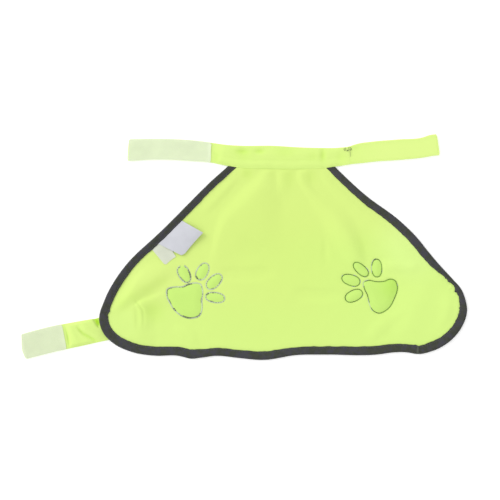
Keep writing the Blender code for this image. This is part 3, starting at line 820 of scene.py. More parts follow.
def plan_mesh(ring, spots):
    """Points and triangles of a plan area inside a closed ring, through the spots in it."""
    count = len(ring)
    points = [Vector(map(float, spot)) for spot in np.vstack((ring, spots))]
    edges = [(i, (i + 1) % count) for i in range(count)]
    plan, _, faces, *_ = delaunay_2d_cdt(points, edges, [], 1, 1e-4)
    return np.array(plan), [list(face) for face in faces]


def hex_spots(low, high, step):
    """Plan points a step apart in three directions, over a rectangle."""
    rows = []
    for row, y in enumerate(np.arange(low[1], high[1], step * HEX_ROW)):
        x = np.arange(low[0], high[0], step) + step / 2 * (row % 2)
        rows.append(np.stack([x, np.full(len(x), y)], axis=1))
    return np.vstack(rows)


def spots_in(ring, step, margin):
    """Plan points a step apart, all of them a margin inside a ring."""
    spots = hex_spots(ring.min(axis=0), ring.max(axis=0), step)
    return spots[outside(ring, spots) < -margin]


def snap(spots):
    """The spots moved to one common grid, so that overlapping patches share their points."""
    row = np.round(spots[:, 1] / (PAW_STEP * HEX_ROW))
    shift = PAW_STEP / 2 * (row % 2)
    column = np.round((spots[:, 0] - shift) / PAW_STEP)
    return np.stack([column * PAW_STEP + shift, row * PAW_STEP * HEX_ROW], axis=1)


def two_faced(plan, faces, lower, thickness):
    """Points and faces of a closed wall over a plan mesh."""
    count = len(plan)
    points = np.vstack((raised(plan, lower), raised(plan, lower + thickness)))
    made = [[i + count for i in face] for face in faces] + [face[::-1] for face in faces]
    sides = {(a, b) for face in faces for a, b in zip(face, face[1:] + face[:1])}
    made += [[a, b, b + count, a + count] for a, b in sorted(sides) if (b, a) not in sides]
    return points, made


def grid_lay(middle):
    """(distance along, distance across, 0) of each point of a grid, in mm."""
    along = np.linalg.norm(np.diff(middle, axis=0), axis=2).mean(axis=1)
    across = np.linalg.norm(np.diff(middle, axis=1), axis=2)
    down = np.append(0, np.cumsum(along))[:, None]
    over = np.pad(np.cumsum(across, axis=1), ((0, 0), (1, 0)))
    return raised(np.stack([np.broadcast_to(down, over.shape), over], axis=-1), 0)


def shell(name, middle, thickness, material, shade=0):
    """A closed thin wall on a grid of points, half its thickness to each side."""
    rows, columns = middle.shape[:2]
    half = unit(np.cross(np.gradient(middle, axis=0), np.gradient(middle, axis=1))) * thickness / 2
    points = np.concatenate([(middle + half).reshape(-1, 3), (middle - half).reshape(-1, 3)])
    index = np.arange(rows * columns).reshape(rows, columns)
    corners = index[:-1, :-1], index[1:, :-1], index[1:, 1:], index[:-1, 1:]
    front = np.stack(corners, axis=-1).reshape(-1, 4)
    rim = np.concatenate([index[0], index[1:, -1], index[-1, -2::-1], index[-2:0:-1, 0]])
    onward, back = np.roll(rim, -1), rows * columns
    wall = np.stack([rim, onward, onward + back, rim + back], axis=1)
    faces = np.vstack((front, front[:, ::-1] + back, wall))
    shade = np.broadcast_to(np.clip(shade, 0, 1), (rows, columns)).ravel()
    layers = doubled(lay=grid_lay(middle).reshape(-1, 3), shade=shade)
    return new_object(name, points, faces.tolist(), material, **layers)


def threads(name, paths, across, radii, sides, material, tone=0):
    """Round threads in one mesh. paths holds (thread, point, xyz), and across is square to their planes."""
    count, steps = paths.shape[:2]
    run = unit(np.gradient(paths, axis=1))
    across = unit(across)[:, None]
    up = np.cross(across, run)
    angle = np.linspace(0, 2 * np.pi, sides, endpoint=False)[:, None]
    ring = np.cos(angle) * across[:, :, None] + np.sin(angle) * up[:, :, None]
    points = paths[:, :, None] + np.broadcast_to(radii, steps)[:, None, None] * ring
    index = np.arange(count * steps * sides).reshape(count, steps, sides)
    onward = np.roll(index, -1, axis=2)
    walls = np.stack([index[:, :-1], onward[:, :-1], onward[:, 1:], index[:, 1:]], axis=-1)
    faces = walls.reshape(-1, 4).tolist() + index[:, 0, ::-1].tolist() + index[:, -1].tolist()
    tone = np.repeat(np.broadcast_to(tone, count), steps * sides)
    return new_object(name, points.reshape(-1, 3), faces, material, tone=tone)


def stitches(name, rows, radius, material, facing=1, tone=0):
    """Short stitches that dip into the cloth at both ends, from rows of (starts, ends).

    facing is 1 on an upper face and -1 on a lower one."""
    starts, ends = (np.vstack(side) for side in zip(*rows))
    share, rise, wide = np.array(STITCH).T
    chord = ends - starts
    paths = starts[:, None] + chord[:, None] * share[:, None]
    paths[:, :, 2] += facing * rise * radius
    threads(name, paths, np.cross(chord, (0, 0, facing)), wide * radius, 6, material, tone)


def dashes(length, pitch, share, first=0):
    """(starts, ends) of dashes at this pitch along a length, from first on."""
    count = max(1, round(length / pitch))
    starts = np.arange(count) * length / count
    return first + starts, first + (starts + length / count * share)


# Materials


class Finish:
    """A cloth or thread finish: a Principled shader and the nodes that vary it."""

    def __init__(self, name, roughness, sheen=0, sheen_tint=(1, 1, 1)):
        self.material = bpy.data.materials.new(name)
        self.material.use_nodes = True
        self.tree = self.material.node_tree
        self.set("Roughness", roughness)
        self.set("Sheen Weight", sheen)
        self.set("Sheen Tint", (*sheen_tint, 1))
        self.set("Sheen Roughness", 0.5)
        self.set("Specular IOR Level", 0.25)

    def fill(self, socket, value):
        """Give a socket a value, or link it to another socket. None leaves it as it is."""
        if isinstance(value, bpy.types.NodeSocket):
            self.tree.links.new(value, socket)
        elif value is not None:
            socket.default_value = value

    def set(self, name, value):
        self.fill(self.tree.nodes["Principled BSDF"].inputs[name], value)

    def node(self, kind, *inputs, **settings):
        """A node with its settings and its inputs in order."""
        made = self.tree.nodes.new("ShaderNode" + kind)
        for key, value in settings.items():
            setattr(made, key, value)
        for socket, value in zip(made.inputs, inputs):
            self.fill(socket, value)
        return made

    def math(self, operation, *values):
        return self.node("Math", *values, operation=operation).outputs[0]

    def plus(self, a, b):
        return self.math("ADD", a, b)

    def times(self, a, b):
        return self.math("MULTIPLY", a, b)

    def scale_add(self, a, factor, b):
        return self.math("MULTIPLY_ADD", a, factor, b)

    def span(self, value, low, high):
        """0 where a value is low, 1 where it is high, and even between them."""
        return self.node("MapRange", value, low, high).outputs[0]

    def layer(self, name, kind="Fac"):
        return self.node("Attribute", attribute_name=name).outputs[kind]

    def lay(self):
        """x and y of the lay, in mm along the cloth and across it."""
        return self.node("SeparateXYZ", self.layer("lay", "Vector")).outputs[:2]

    def spot(self):
        """Where a point of the surface is, in metres."""
        return self.node("TexCoord").outputs["Object"]

    def noise(self, scale, detail):
        """Noise between 0 and 1. scale counts its lumps in a metre."""
        made = self.node("TexNoise", self.spot())
        self.fill(made.inputs["Scale"], scale)
        self.fill(made.inputs["Detail"], detail)
        return made.outputs["Fac"]

    def wave(self, coordinate, pitch, shift=0):
        """Ribs between -1 and 1, a pitch apart in the coordinate's own unit."""
        return self.math("SINE", self.scale_add(coordinate, 2 * math.pi / pitch, shift))

    def mix(self, share, a, b, blend="MIX"):
        made = self.node("Mix", data_type="RGBA", blend_type=blend)
        sockets = {socket.name: socket for socket in made.inputs if socket.enabled}
        for name, value in (("Factor", share), ("A", a), ("B", b)):
            self.fill(sockets[name], (*value, 1) if isinstance(value, tuple) else value)
        return next(socket for socket in made.outputs if socket.enabled)

    def tint(self, share, colour, factor):
        """A colour times a factor, by its share."""
        return self.mix(share, colour, factor, "MULTIPLY")

    def relief(self, height, depth, strength=0.5):
        made = self.node("Bump")
        self.fill(made.inputs["Strength"], strength)
        self.fill(made.inputs["Distance"], depth * MM)
        self.fill(made.inputs["Height"], height)
        self.set("Normal", made.outputs["Normal"])

    def done(self, colour):
        self.set("Base Color", colour)
        return self.material


def scaled(colour, *shares):
    """A colour times one share, or times one for each channel."""
    return tuple(channel * share for channel, share in zip(colour, shares * 3))


def knit(name, colour, patch=None):
    """Fine warp-knit polyester: columns of small loops, a little uneven in colour, with painted light and
    shade.
    """
    finish = Finish(name, 0.85, 0.12, (0.95, 1, 0.7))
    x, y = finish.lay()
    columns = finish.wave(x, 1.1)
    loops = finish.wave(finish.scale_add(columns, 0.18, y), 0.8)
    yarn = finish.times(finish.plus(columns, 1), finish.plus(loops, 1))
    height = finish.times(yarn, 0.25)
    share = 0.37
    for part, weight in ((finish.noise(14, 3), 0.10), (finish.noise(900, 1), 0.10), (height, 0.05)):
        share = finish.scale_add(part, weight, share)
    tinted = finish.mix(share, scaled(colour, 0.90), scaled(colour, 1.12))
    if patch:
        # painted light: lighter by the light layer, towards the panel's sides, by its right slope and over
        # the strap
        tinted = finish.mix(finish.layer("light"), tinted, scaled(colour, 1.09, 1.07, 1.30))
        tinted = finish.tint(finish.layer("green"), tinted, (0.955, 1.01, 0.96))
        tinted = finish.mix(finish.layer("patch"), tinted, patch)
    else:
        along = finish.node("SeparateXYZ", finish.spot()).outputs["X"]
        tinted = finish.tint(finish.span(along, 0.12, 0.17), tinted, (1.05, 1.01, 1.10))
    finish.relief(height, 0.12)
    # painted shade in the hollows, by the shade layer
    return finish.done(finish.tint(finish.layer("shade"), tinted, PAINTED_HOLLOW_SHADE))


def grosgrain(name, colour):
    """Ribbed binding tape, its ribs square to its length. Its shade layer marks a painted highlight on the
    lap's edge.
    """
    finish = Finish(name, 0.75, 0.08, (0.8, 0.82, 0.9))
    x, y = finish.lay()
    warp = finish.times(finish.wave(y, 0.45, 0.6), 0.15)
    height = finish.scale_add(finish.wave(x, 0.9), 0.5, warp)
    bluish = finish.span(finish.noise(150, 3), 0.42, 0.58)
    patchy = finish.span(finish.noise(420, 2), 0.38, 0.62)
    yarn = finish.mix(bluish, scaled(colour, 0.92), scaled(colour, 1.25, 1.05, 2.1))
    yarn = finish.mix(finish.times(patchy, 0.5), yarn, scaled(colour, 1.6, 1.5, 1.2))
    yarn = finish.mix(finish.scale_add(height, 0.3, 0.15), yarn, scaled(colour, 1.8))
    finish.relief(height, 0.15, 0.6)
    # painted highlight on the lap's cut edge
    return finish.done(finish.mix(finish.layer("shade"), yarn, scaled(colour, LAP_HIGHLIGHT)))


def clouded(finish, colour, relief, clouds, weight, light, depth):
    """A woven finish, uneven by its own relief and by broad clouds."""
    share = finish.scale_add(relief, weight, finish.noise(*clouds))
    finish.relief(relief, depth)
    return finish.done(finish.mix(share, scaled(colour, 0.9), scaled(colour, light)))


def woven_base(name, colour, pitch, roughness):
    """The close plain weave of a narrow tape."""
    finish = Finish(name, roughness, 0.05)
    x, y = finish.lay()
    weave = finish.times(finish.wave(x, pitch), finish.wave(y, pitch))
    return clouded(finish, colour, weave, (60, 3), 0.2, 1.08, 0.08)


def satin(name, colour, roughness):
    """A label's satin: long floats along it, fine ribs across."""
    finish = Finish(name, roughness, 0.1)
    x, y = finish.lay()
    picks = finish.wave(finish.scale_add(y, 0.35, x), 1.3)
    height = finish.scale_add(finish.wave(y, 0.5), 0.5, finish.times(picks, 0.2))
    return clouded(finish, colour, height, (80, 2), 0.18, 1.1, 0.06)


def thread_finish(name, light, dark):
    """Twisted sewing thread. Its tone layer goes from light to dark along the seam."""
    finish = Finish(name, 0.45, 0.1)
    x, y, z = finish.node("SeparateXYZ", finish.spot()).outputs
    slant = finish.plus(finish.plus(x, y), finish.times(z, 2))
    twist = finish.wave(slant, 0.7 * MM)
    tone = finish.scale_add(twist, 0.12, finish.layer("tone"))
    finish.relief(twist, 0.05, 0.6)
    return finish.done(finish.mix(finish.node("Clamp", tone).outputs[0], light, dark))


def hook_plastic(name, colour):
    finish = Finish(name, 0.35)
    finish.set("Specular IOR Level", 0.5)
    return finish.done(finish.mix(finish.noise(700, 1), scaled(colour, 0.92), scaled(colour, 1.06)))


def reflective_film(name):
    """Silver glass-bead film, a fine grain over an even grey."""
    finish = Finish(name, 0.38)
    finish.set("Metallic", 0.55)
    grain = finish.noise(2600, 2)
    finish.relief(grain, 0.04)
    return finish.done(finish.mix(grain, (0.46, 0.47, 0.48), (0.62, 0.63, 0.64)))


def floor_finish():
    """A pale floor, lit a little from within like a light table."""
    finish = Finish("pale_floor", 0.9)
    finish.set("Emission Color", (1, 1, 1, 1))
    finish.set("Emission Strength", 0.3)
    return finish.done(finish.mix(finish.noise(3, 2), (0.895,) * 3, (0.905,) * 3))


CLOTH_COLOUR = (0.620, 0.797, 0.200)
STRAP_COLOUR = (0.645, 0.845, 0.226)
KNIT = knit("panel_knit", CLOTH_COLOUR, patch=(0.535, 0.785, 0.175))
STRAP_KNIT = knit("strap_knit", STRAP_COLOUR)
GROSGRAIN = grosgrain("binding_grosgrain", (0.034, 0.038, 0.029))
HOOK_BASE = woven_base("hook_base", (0.775, 0.87, 0.60), 0.7, 0.6)
BELLY_HOOK_BASE = woven_base("belly_hook_base", (0.735, 0.82, 0.565), 0.7, 0.6)
HOOKS = hook_plastic("hook_nylon", (0.80, 0.86, 0.67))
LOOP_BASE = woven_base("loop_base", (0.60, 0.80, 0.22), 0.8, 0.9)
LOOP_PILE = hook_plastic("loop_nylon", (0.64, 0.83, 0.26))
LABEL_SATIN = satin("label_satin_weave", (0.555, 0.563, 0.605), 0.42)
LABEL_NYLON = satin("label_nylon_weave", (0.635, 0.67, 0.545), 0.5)
DARK_THREAD = thread_finish("dark_thread", (0.075, 0.077, 0.082), (0.03, 0.03, 0.034))
YELLOW_THREAD = thread_finish("yellow_thread", (0.66, 0.84, 0.24), (0.55, 0.74, 0.18))
PALE_THREAD_FINISH = thread_finish("pale_thread", (0.78, 0.85, 0.62), (0.66, 0.74, 0.50))
SILVER_THREAD = thread_finish("silver_thread", (0.66, 0.72, 0.62), (0.17, 0.20, 0.15))
# painted shade: the olive line stands for the groove's shade inside the right paw's outline; the slate thread
# also draws that shade inside the left one
OLIVE_GROOVE_SHADE = thread_finish("olive_groove_shade", (0.13, 0.26, 0.035), (0.02, 0.035, 0.015))
SLATE_THREAD_AND_SHADE = thread_finish("slate_thread_and_shade", (0.17, 0.20, 0.15), (0.022, 0.026, 0.03))
FILM_SILVER = reflective_film("silver_film")

# What stands on a tape: its form, its step along the tape and across it, its radius and its material
HOOK_NAP = (HOOK, 1.5, 1.35, 0.13, HOOKS)
PILE_NAP = (PILE, 1.3, 1.1, 0.07, LOOP_PILE)


# Pieces


def back_panel():
    rim = edge_point(EDGE.stations(PANEL_STEP), RIM_INSET)
    across = np.linspace(rim[-1][0], rim[0][0], 60)[1:-1]
    tuck = np.stack([across, neck_seam(across) + NECK_TUCK], axis=1)
    ring = np.vstack((rim, rim[-1:] + (0, NECK_TUCK), tuck, rim[:1] + (0, NECK_TUCK)))
    spots = spots_in(ring, PANEL_STEP, 0.6 * PANEL_STEP)
    boxes = [(r.min(axis=0) - PAW_REACH, r.max(axis=0) + PAW_REACH) for r in PAW_RINGS]
    boxes += [((x - reach, y - reach), (x + reach, y + reach)) for x, y, reach in FINE_CREASES]
    fine = np.vstack([snap(hex_spots(*box, PAW_STEP)) for box in boxes])
    fine = np.unique(np.round(fine, 3), axis=0)
    fine = fine[coarse_gap(fine) < -0.3 * PAW_STEP]
    plan, faces = plan_mesh(ring, np.vstack((spots[coarse_gap(spots) > 0], fine)))
    points, made = two_faced(plan, faces, panel_underside(plan), CLOTH)
    patch = paw_gap(plan)[1]
    # painted shade in the hollows between the gathers and by the creases, and on the pads' far slopes
    shade = 0.5 * hollows(GATHER_HOLLOWS, plan) + hollows(PAD_SHADES, plan) * patch
    tints = {"patch": patch, "light": painted_lightness(plan), "green": greenness(plan), "shade": shade}
    layers = doubled(lay=raised(plan, 0), **tints)
    stands_for(new_object("vest_panel", points, made, KNIT, **layers), "back_panel")


def tape_reach(s):
    """How far in the binding's upper leaf reaches. Its stitches scallop it where it is bunched up."""
    even = EDGE.read(s)[2] + BINDING_STRAY * wander(s, 9, 33) + BINDING_RAGGED * wander(s, 3.3, 38)
    scallop = np.abs(np.sin(np.pi * (s / SCALLOP_PITCH + SCALLOP_STRAY * wander(s, 11, 36))))
    drawn = SCALLOP_DEPTH * scallop * (0.7 + 0.3 * wander(s, 6, 37))
    bites = sum(deep * bump((s - at) / reach) for at, reach, deep in BITE_STATIONS)
    return even + bites + bunched(s) ** 0.7 * (SCALLOP_OUT - drawn)


def leaf_height(s, inset, tape):
    """Height of the middle of the binding's upper leaf: a crown by the fold, drawn down by its stitches."""
    share = np.clip((inset - BINDING_ROUND) / (tape - BINDING_ROUND), 0, 1)
    height = BINDING_CROWN + (BINDING_EDGE - BINDING_CROWN) * share**BINDING_SLOPE
    height = height + CROWN_STRAY * wander(s, 17, 31) * (1 - share)
    height = height - STITCH_DIP * fade(inset - tape + STITCHED_IN, STITCH_DIP_REACH)
    height = height + LAP_RISE * bump((s + LAP_LEAN * inset - LAP_AT) / LAP_REACH) * smooth(4 * share)
    return height + BUNCHED_RISE * bunched(s) * share**2 * (0.5 + 0.5 * wander(s, 2.4, 32))


def end_press(s):
    """What is left of the binding's height at s, towards its ends in the neck strap."""
    return 1 - END_PRESS * smooth(1 - np.minimum(s, EDGE.length - s) / END_PRESS_LENGTH)


def edge_binding():
    s = EDGE.stations(BINDING_STEP)[:, None]
    tape = tape_reach(s)
    fold = 0.28 + 0.15 * (1 + wander(s, 12, 34))
    turn = np.radians(np.linspace(-90, 90, 9))[1:-1]
    under = tape - UNDER_SHORT + (BINDING_ROUND - tape + UNDER_SHORT) * np.linspace(0, 1, 9)
    over = BINDING_ROUND + (tape - BINDING_ROUND) * np.linspace(0, 1, 13)
    crown = leaf_height(s, BINDING_ROUND, tape)
    middle, reach = (crown + BINDING_LOW) / 2, (crown - BINDING_LOW) / 2
    leaves = (
        (under, np.full(under.shape, BINDING_LOW)),
        (BINDING_ROUND - (BINDING_ROUND - fold) * np.cos(turn), middle + reach * np.sin(turn)),
        (over, leaf_height(s, over, tape)),
    )
    inset, height = (np.concatenate(columns, axis=1) for columns in zip(*leaves))
    plan = edge_point(s, inset)
    height = (height + lift(plan)) * end_press(s)
    # painted highlight along the lap's cut edge, carried in the shade layer
    lap_highlight = bump((s + LAP_LEAN * inset - LAP_AT + LAP_HIGHLIGHT_BEFORE) / LAP_HIGHLIGHT_REACH)
    piece = shell("vest_binding", raised(plan, height), PLY, GROSGRAIN, lap_highlight)
    stands_for(piece, "edge_binding")


def binding_stitches():
    """The row on the binding's upper leaf, and the same row on the lower one."""

    def spot(s, facing):
        tape = tape_reach(s)
        inset = tape - STITCHED_IN + STITCH_STRAY * wander(s, 5, 35)
        plan = edge_point(s, inset)
        height = leaf_height(s, inset, tape) if facing > 0 else BINDING_LOW + UNDER_SUNK
        return raised(plan, (height + lift(plan)) * end_press(s) + facing * PLY / 2)

    for leaf, facing, radius in (("", 1, THREAD), ("_under", -1, UNDER_THREAD)):
        row = [spot(s, facing) for s in dashes(EDGE.length, *BINDING_LAY)]
        stitches("binding_stitches" + leaf, [row], radius, DARK_THREAD, facing)


def strap_frame(x):
    """(bottom, how thick, how far up on the loop tape) of the neck strap at x."""
    thick, climb = (smooth((x - low) / (high - low)) for low, high in (STRAP_THICKENS, STRAP_CLIMBS))
    return ON_TAPE * climb, thick * (1 - climb)


def neck_top(s, up):
    """Height of the middle of the neck strap's upper ply, up from its lower edge."""
    x = NECK.read(s)[0][..., 0]
    bottom, thick = strap_frame(x)
    band = BAND_EDGE + (BAND_TOP - BAND_EDGE) * smooth(up / BAND_MIDDLE)
    above = STRAP_TOP + STRAP_SWELL * bump((up - STRAP_SWELL_AT) / STRAP_SWELL_REACH)
    full = band + (above - band) * smooth((up - SEAM_AT) / SEAM_BLEND + 0.5)
    full = full + BAND_STRAY * wander(x, 9, 41) * bump(up / BAND_MIDDLE - 1)
    slant = x + 0.4 * up
    full = full - hollows(DIMPLES, NECK.plan_of(s, up)) + STRAP_STRAY * wander(slant, 7, 42)
    pressed = PRESSED_TOP + PRESSED_STRAY * wander(slant, 7, 43)
    return bottom + pressed + (full - pressed) * thick


def belly_hollow(plan):
    """How deep the belly strap's creases are at plan points, below zero where they stand up."""
    return -crest_heights(BELLY_CREASES, plan.reshape(-1, 2)).reshape(plan.shape[:-1])


def belly_top(s, up):
    """Height of the middle of the belly strap's upper ply, up from its right edge."""
    point, _, width = BELLY.read(s)
    x, plan = point[..., 0], BELLY.plan_of(s, up)
    out = outside(EDGE.points[:, :2], plan)
    bulged, creased = (smooth((x - start) / length) for start, length in (BULGE_FROM, CREASED_FROM))
    edges = smooth(up / BULGE_EDGE) * smooth((width - up) / BULGE_EDGE)
    creases = belly_hollow(plan) * creased * smooth(out / 2) * (EDGE_CREASED + (1 - EDGE_CREASED) * edges)
    rise = STRAP_BULGE * bulged * smooth((out - 0.5) / BULGE_FALL) * edges - creases
    return PRESSED_TOP + np.maximum(rise, LOWER_PLY + PLY_STEP - PRESSED_TOP)


def trimmed(s, aside, half, length, skew, bow=0):
    """Distances along a strap, moved in at its ends' corners and leaned by the skew of each end.

    bow rounds out the lower half of the first end."""
    corner = END_ROUND * (np.abs(aside) / half) ** 8
    first, last = (smooth(1 - gap / END_REACH) for gap in (s, length - s))
    bowed = corner - bow * bump(0.9 * aside / half + 0.2)
    return s + (bowed + skew[0] * aside) * first - (corner - skew[1] * aside) * last


def folded_band(name, node, line, step, top, bottom, shade, skew, bow=0):
    """A strap folded along its left edge, its upper ply turned under at the right edge.

    top and bottom give the middle of its plies from (distance along, distance from the right edge), and shade
    how deep its hollows are, from plan points."""
    s = line.stations(step)[:, None]
    width = line.read(s)[2]
    up = HEM_TURN + (width - HEM_TURN - FOLD_TURN) * np.linspace(0, 1, 27)
    low, high = bottom(s), top(s, up)
    drop = PLY_STEP / 2
    hem = up[:, :1] + STRAP_HEM * np.linspace(1, 0, 5)
    hem_turn = np.radians(np.linspace(270, 90, 7))[1:-1]
    fold_turn = np.radians(np.linspace(90, -90, 9))[1:-1]
    middle, reach = (high[:, -1:] + low) / 2, (high[:, -1:] - low) / 2
    back = up[:, -1:] + (BACK_INSET - up[:, -1:]) * np.linspace(0, 1, 12)
    plies = (
        (hem, top(s, hem) - PLY_STEP),
        (up[:, :1] + drop * np.cos(hem_turn), high[:, :1] - drop + drop * np.sin(hem_turn)),
        (up, high),
        (up[:, -1:] + np.minimum(reach, FOLD_BULGE) * np.cos(fold_turn), middle + reach * np.sin(fold_turn)),
        (back, np.broadcast_to(low, back.shape)),
    )
    ups, heights = (np.concatenate(columns, axis=1) for columns in zip(*plies))
    aside = ups - width / 2
    grid = line.place(trimmed(s, aside, width / 2, line.length, skew, bow), aside, heights)
    stands_for(shell(name, grid, STRAP_CLOTH, STRAP_KNIT, shade(grid[..., :2])), node)


def neck_strap():
    def bottom(s):
        return strap_frame(NECK.read(s)[0][..., 0])[0] + LOWER_PLY

    def shade(plan):
        # painted shade in the neck strap's dimples
        return 0.35 * hollows(DIMPLES, plan)

    folded_band("vest_neck_strap", "neck_strap", NECK, BAND_STEP, neck_top, bottom, shade, NECK_SKEW)


def belly_strap():
    def bottom(s):
        return np.full_like(s, LOWER_PLY)

    def shade(plan):
        # painted shade in the belly strap's creases and where it dips
        return 0.16 * belly_hollow(plan) + hollows(BELLY_SHADES, plan)

    folded_band(
        "vest_belly_strap", "belly_strap", BELLY, BELLY_STEP, belly_top, bottom, shade, BELLY_SKEW, BELLY_BOW
    )


def flat_tape(name, node, line, ends, bottom, margin, material, skew=(0, 0), bow=0):
    """A woven strip on or under a strap. bottom is its lower face."""
    first, last = line.at_x(ends)
    s = np.linspace(first, last, round((last - first) / BAND_STEP) + 1)[:, None]
    half = line.read(s)[2] / 2 - margin
    aside = half * np.linspace(-1, 1, 17)
    height = bottom + TAPE_BASE / 2 + 0.06 * wander(s + 0.7 * aside, 8, 51)
    along = first + trimmed(s - first, aside, half, last - first, skew, bow)
    stands_for(shell(name, line.place(along, aside, height), TAPE_BASE, material), node)


def field_of(name, line, ends, base, facing, nap, clear, skew=(0, 0)):
    """Rows of small hooks or loops on a tape, a little uneven, turned to alternate sides.

    clear moves its first and last rows in from the tape's ends."""
    form, step, row_step, radius, material = nap
    first, last = line.at_x(ends) + clear
    width = line.read((first + last) / 2)[2] - 2 * (TAPE_MARGIN + FIELD_INSET)
    along_count, across_count = round((last - first) / step), round(width / row_step)
    column, row = np.indices((along_count + 1, across_count + 1)).reshape(2, -1)
    count = len(row)
    rng = np.random.default_rng(len(name))
    s = first + (last - first) * (column + 0.5 * (row % 2)) / (along_count + 0.5)
    s = s + rng.uniform(-NAP_STRAY[0], NAP_STRAY[0], count)
    aside = width * (row / across_count - 0.5) + rng.uniform(-NAP_STRAY[1], NAP_STRAY[1], count)
    s = first + trimmed(s - first, aside, width, last - first, skew)
    along = line.read(s)[1]
    lean = rng.uniform(-NAP_LEAN, NAP_LEAN, (count, 1))
    tall = rng.uniform(NAP_SHORTEST, 1, (count, 1))
    turned = raised(along + lean * side_of(along), 0)
    way = np.where(row % 2, 1, -1)[:, None]
    forward, up = np.array(form).T
    paths = line.place(s, aside, base)[:, None] + (way * forward)[..., None] * turned[:, None]
    paths[:, :, 2] += facing * up * tall
    across = np.cross(turned, (0, 0, facing)) * way
    threads(name, paths, across, radius, 4, material)


def hook_tapes():
    for side, line, ends, clear, cloth, skew, bow in (
        ("neck", NECK, NECK_HOOK_ENDS, (1.2, -4.2), HOOK_BASE, NECK_HOOK_SKEW, 0),
        ("belly", BELLY, BELLY_HOOK_ENDS, (1.2, -3.2), BELLY_HOOK_BASE, BELLY_HOOK_SKEW, BELLY_BOW),
    ):
        name, node = side + "_hook_base", side + "_hook_tape"
        flat_tape(name, node, line, ends, ON_HOOK_STRAP, HOOK_MARGIN, cloth, skew, bow)
        top = ON_HOOK_STRAP + TAPE_BASE - ROOT_DEPTH
        field_of(side + "_hook_field", line, ends, top, 1, HOOK_NAP, clear, skew)


def loop_tapes():
    for side, line, ends, margin in (
        ("neck", NECK, NECK_LOOP_ENDS, TAPE_MARGIN),
        ("belly", LOOP, (BELLY_LOOP[0][0], BELLY_LOOP[1][0]), 0),
    ):
        name, node = side + "_loop_base", side + "_loop_tape"
        flat_tape(name, node, line, ends, LOOP_BOTTOM, margin, LOOP_BASE)
        root = LOOP_BOTTOM + ROOT_DEPTH
        field_of(side + "_loop_pile", line, ends, root, -1, PILE_NAP, (1, -1))


def label(name, node, corners, over_panel, curl, material):
    """A label that lies on the cloth from the binding on. curl lifts its free end."""
    caught = []
    for corner in corners[:2]:
        _, s, tape = EDGE.nearest(np.array([corner]))
        caught.append(edge_point(s, tape - 0.5)[0])
    free = [np.array(corner) for corner in corners[:1:-1]]
    shares = np.linspace(0, 1, LABEL_POINTS)
    t, u = np.meshgrid(shares, shares, indexing="ij")
    near, far = (side[0] + (side[1] - side[0]) * u[..., None] for side in (caught, free))
    back = LABEL_HOLLOW * np.sin(np.pi * u) + LABEL_ROUND * np.clip((u - 1) / LABEL_CORNER + 1, 0, 1) ** 2
    length = np.linalg.norm(far - near, axis=-1)
    plan = near + (far - near) * (t * (1 - back * t**3 / length))[..., None]
    side = LABEL_LOW_SIDE + LABEL_HIGH_SIDE * bump(u / LABEL_SIDE_REACH)
    rise = curl * np.sin(LABEL_WAVE * np.pi * t) ** LABEL_STEEP * side
    under = panel_top(plan.reshape(-1, 2)).reshape(t.shape)
    taut = under[:1] + (under[-1:] - under[:1]) * t
    height = np.maximum(taut, under) + over_panel + LABEL / 2 + rise
    stands_for(shell(name, raised(plan, height), LABEL, material), node)


def ring_stitches(ring, pitch, share, shift, inset, swing=0):
    """Plan starts and ends of stitches inset in a closed ring, and how far along it each is.

    They zigzag by swing to each side."""
    path = np.vstack((ring, ring[:1]))
    at = distances(path)
    along = np.gradient(path, at, axis=0)
    along[0] = along[-1] = along[0] + along[-1]
    out = side_of(unit(along))
    starts, ends = (np.mod(s + shift * pitch, at[-1]) for s in dashes(at[-1], pitch, share))
    way = swing * (-1) ** np.arange(len(starts))
    spots = []
    for s, aside in ((starts, inset - way), (ends, inset + way)):
        place = [np.interp(s, at, x) + aside * np.interp(s, at, y) for x, y in zip(path.T, out.T)]
        spots.append(np.stack(place, axis=1))
    return *spots, starts


def closeness(spots, plan):
    """How close plan points are to the nearest spot, 1 on it and less than 0.4 past its reach."""
    return np.max([np.exp(-((plan - (x, y)) ** 2).sum(axis=1) / reach**2) for x, y, reach in spots], axis=0)


def darker(base, spots, seed):
    """The tone of thread that darkens towards the spots."""
    return lambda plan, at: base + 0.8 * closeness(spots, plan) + 0.3 * wander(at, 7, seed)


def broken(level, spots, near, seed):
    """Which stitches show, of a row that comes up now and then and near the spots."""
    return lambda plan, at: (wander(at, 5.5, seed) > level) | (closeness(spots, plan) > near)


def paw_line(name, rings, lay, radius, material, tone_of, keep_of=None, facing=1):
    """Stitches round a paw's outlines, laid by (pitch, share, shift, inset, swing).

    tone_of and keep_of read their tone and which to keep from their places and how far along they are."""
    surface = panel_top if facing > 0 else film_bottom
    off = THREAD_LIFT * facing * radius
    rows, tones = [], []
    for i, ring in enumerate(rings):
        start, end, along = ring_stitches(ring, *lay)
        along = along + OUTLINE_SPREAD * i
        keep = closeness([MISSED], (start + end) / 2) < 0.5
        if keep_of:
            keep &= keep_of(start, along)
        rows.append([raised(plan, surface(plan) + off)[keep] for plan in (start, end)])
        tones.append(tone_of(start, along)[keep])
    stitches(name, rows, radius, material, facing, np.clip(np.concatenate(tones), 0, 1))


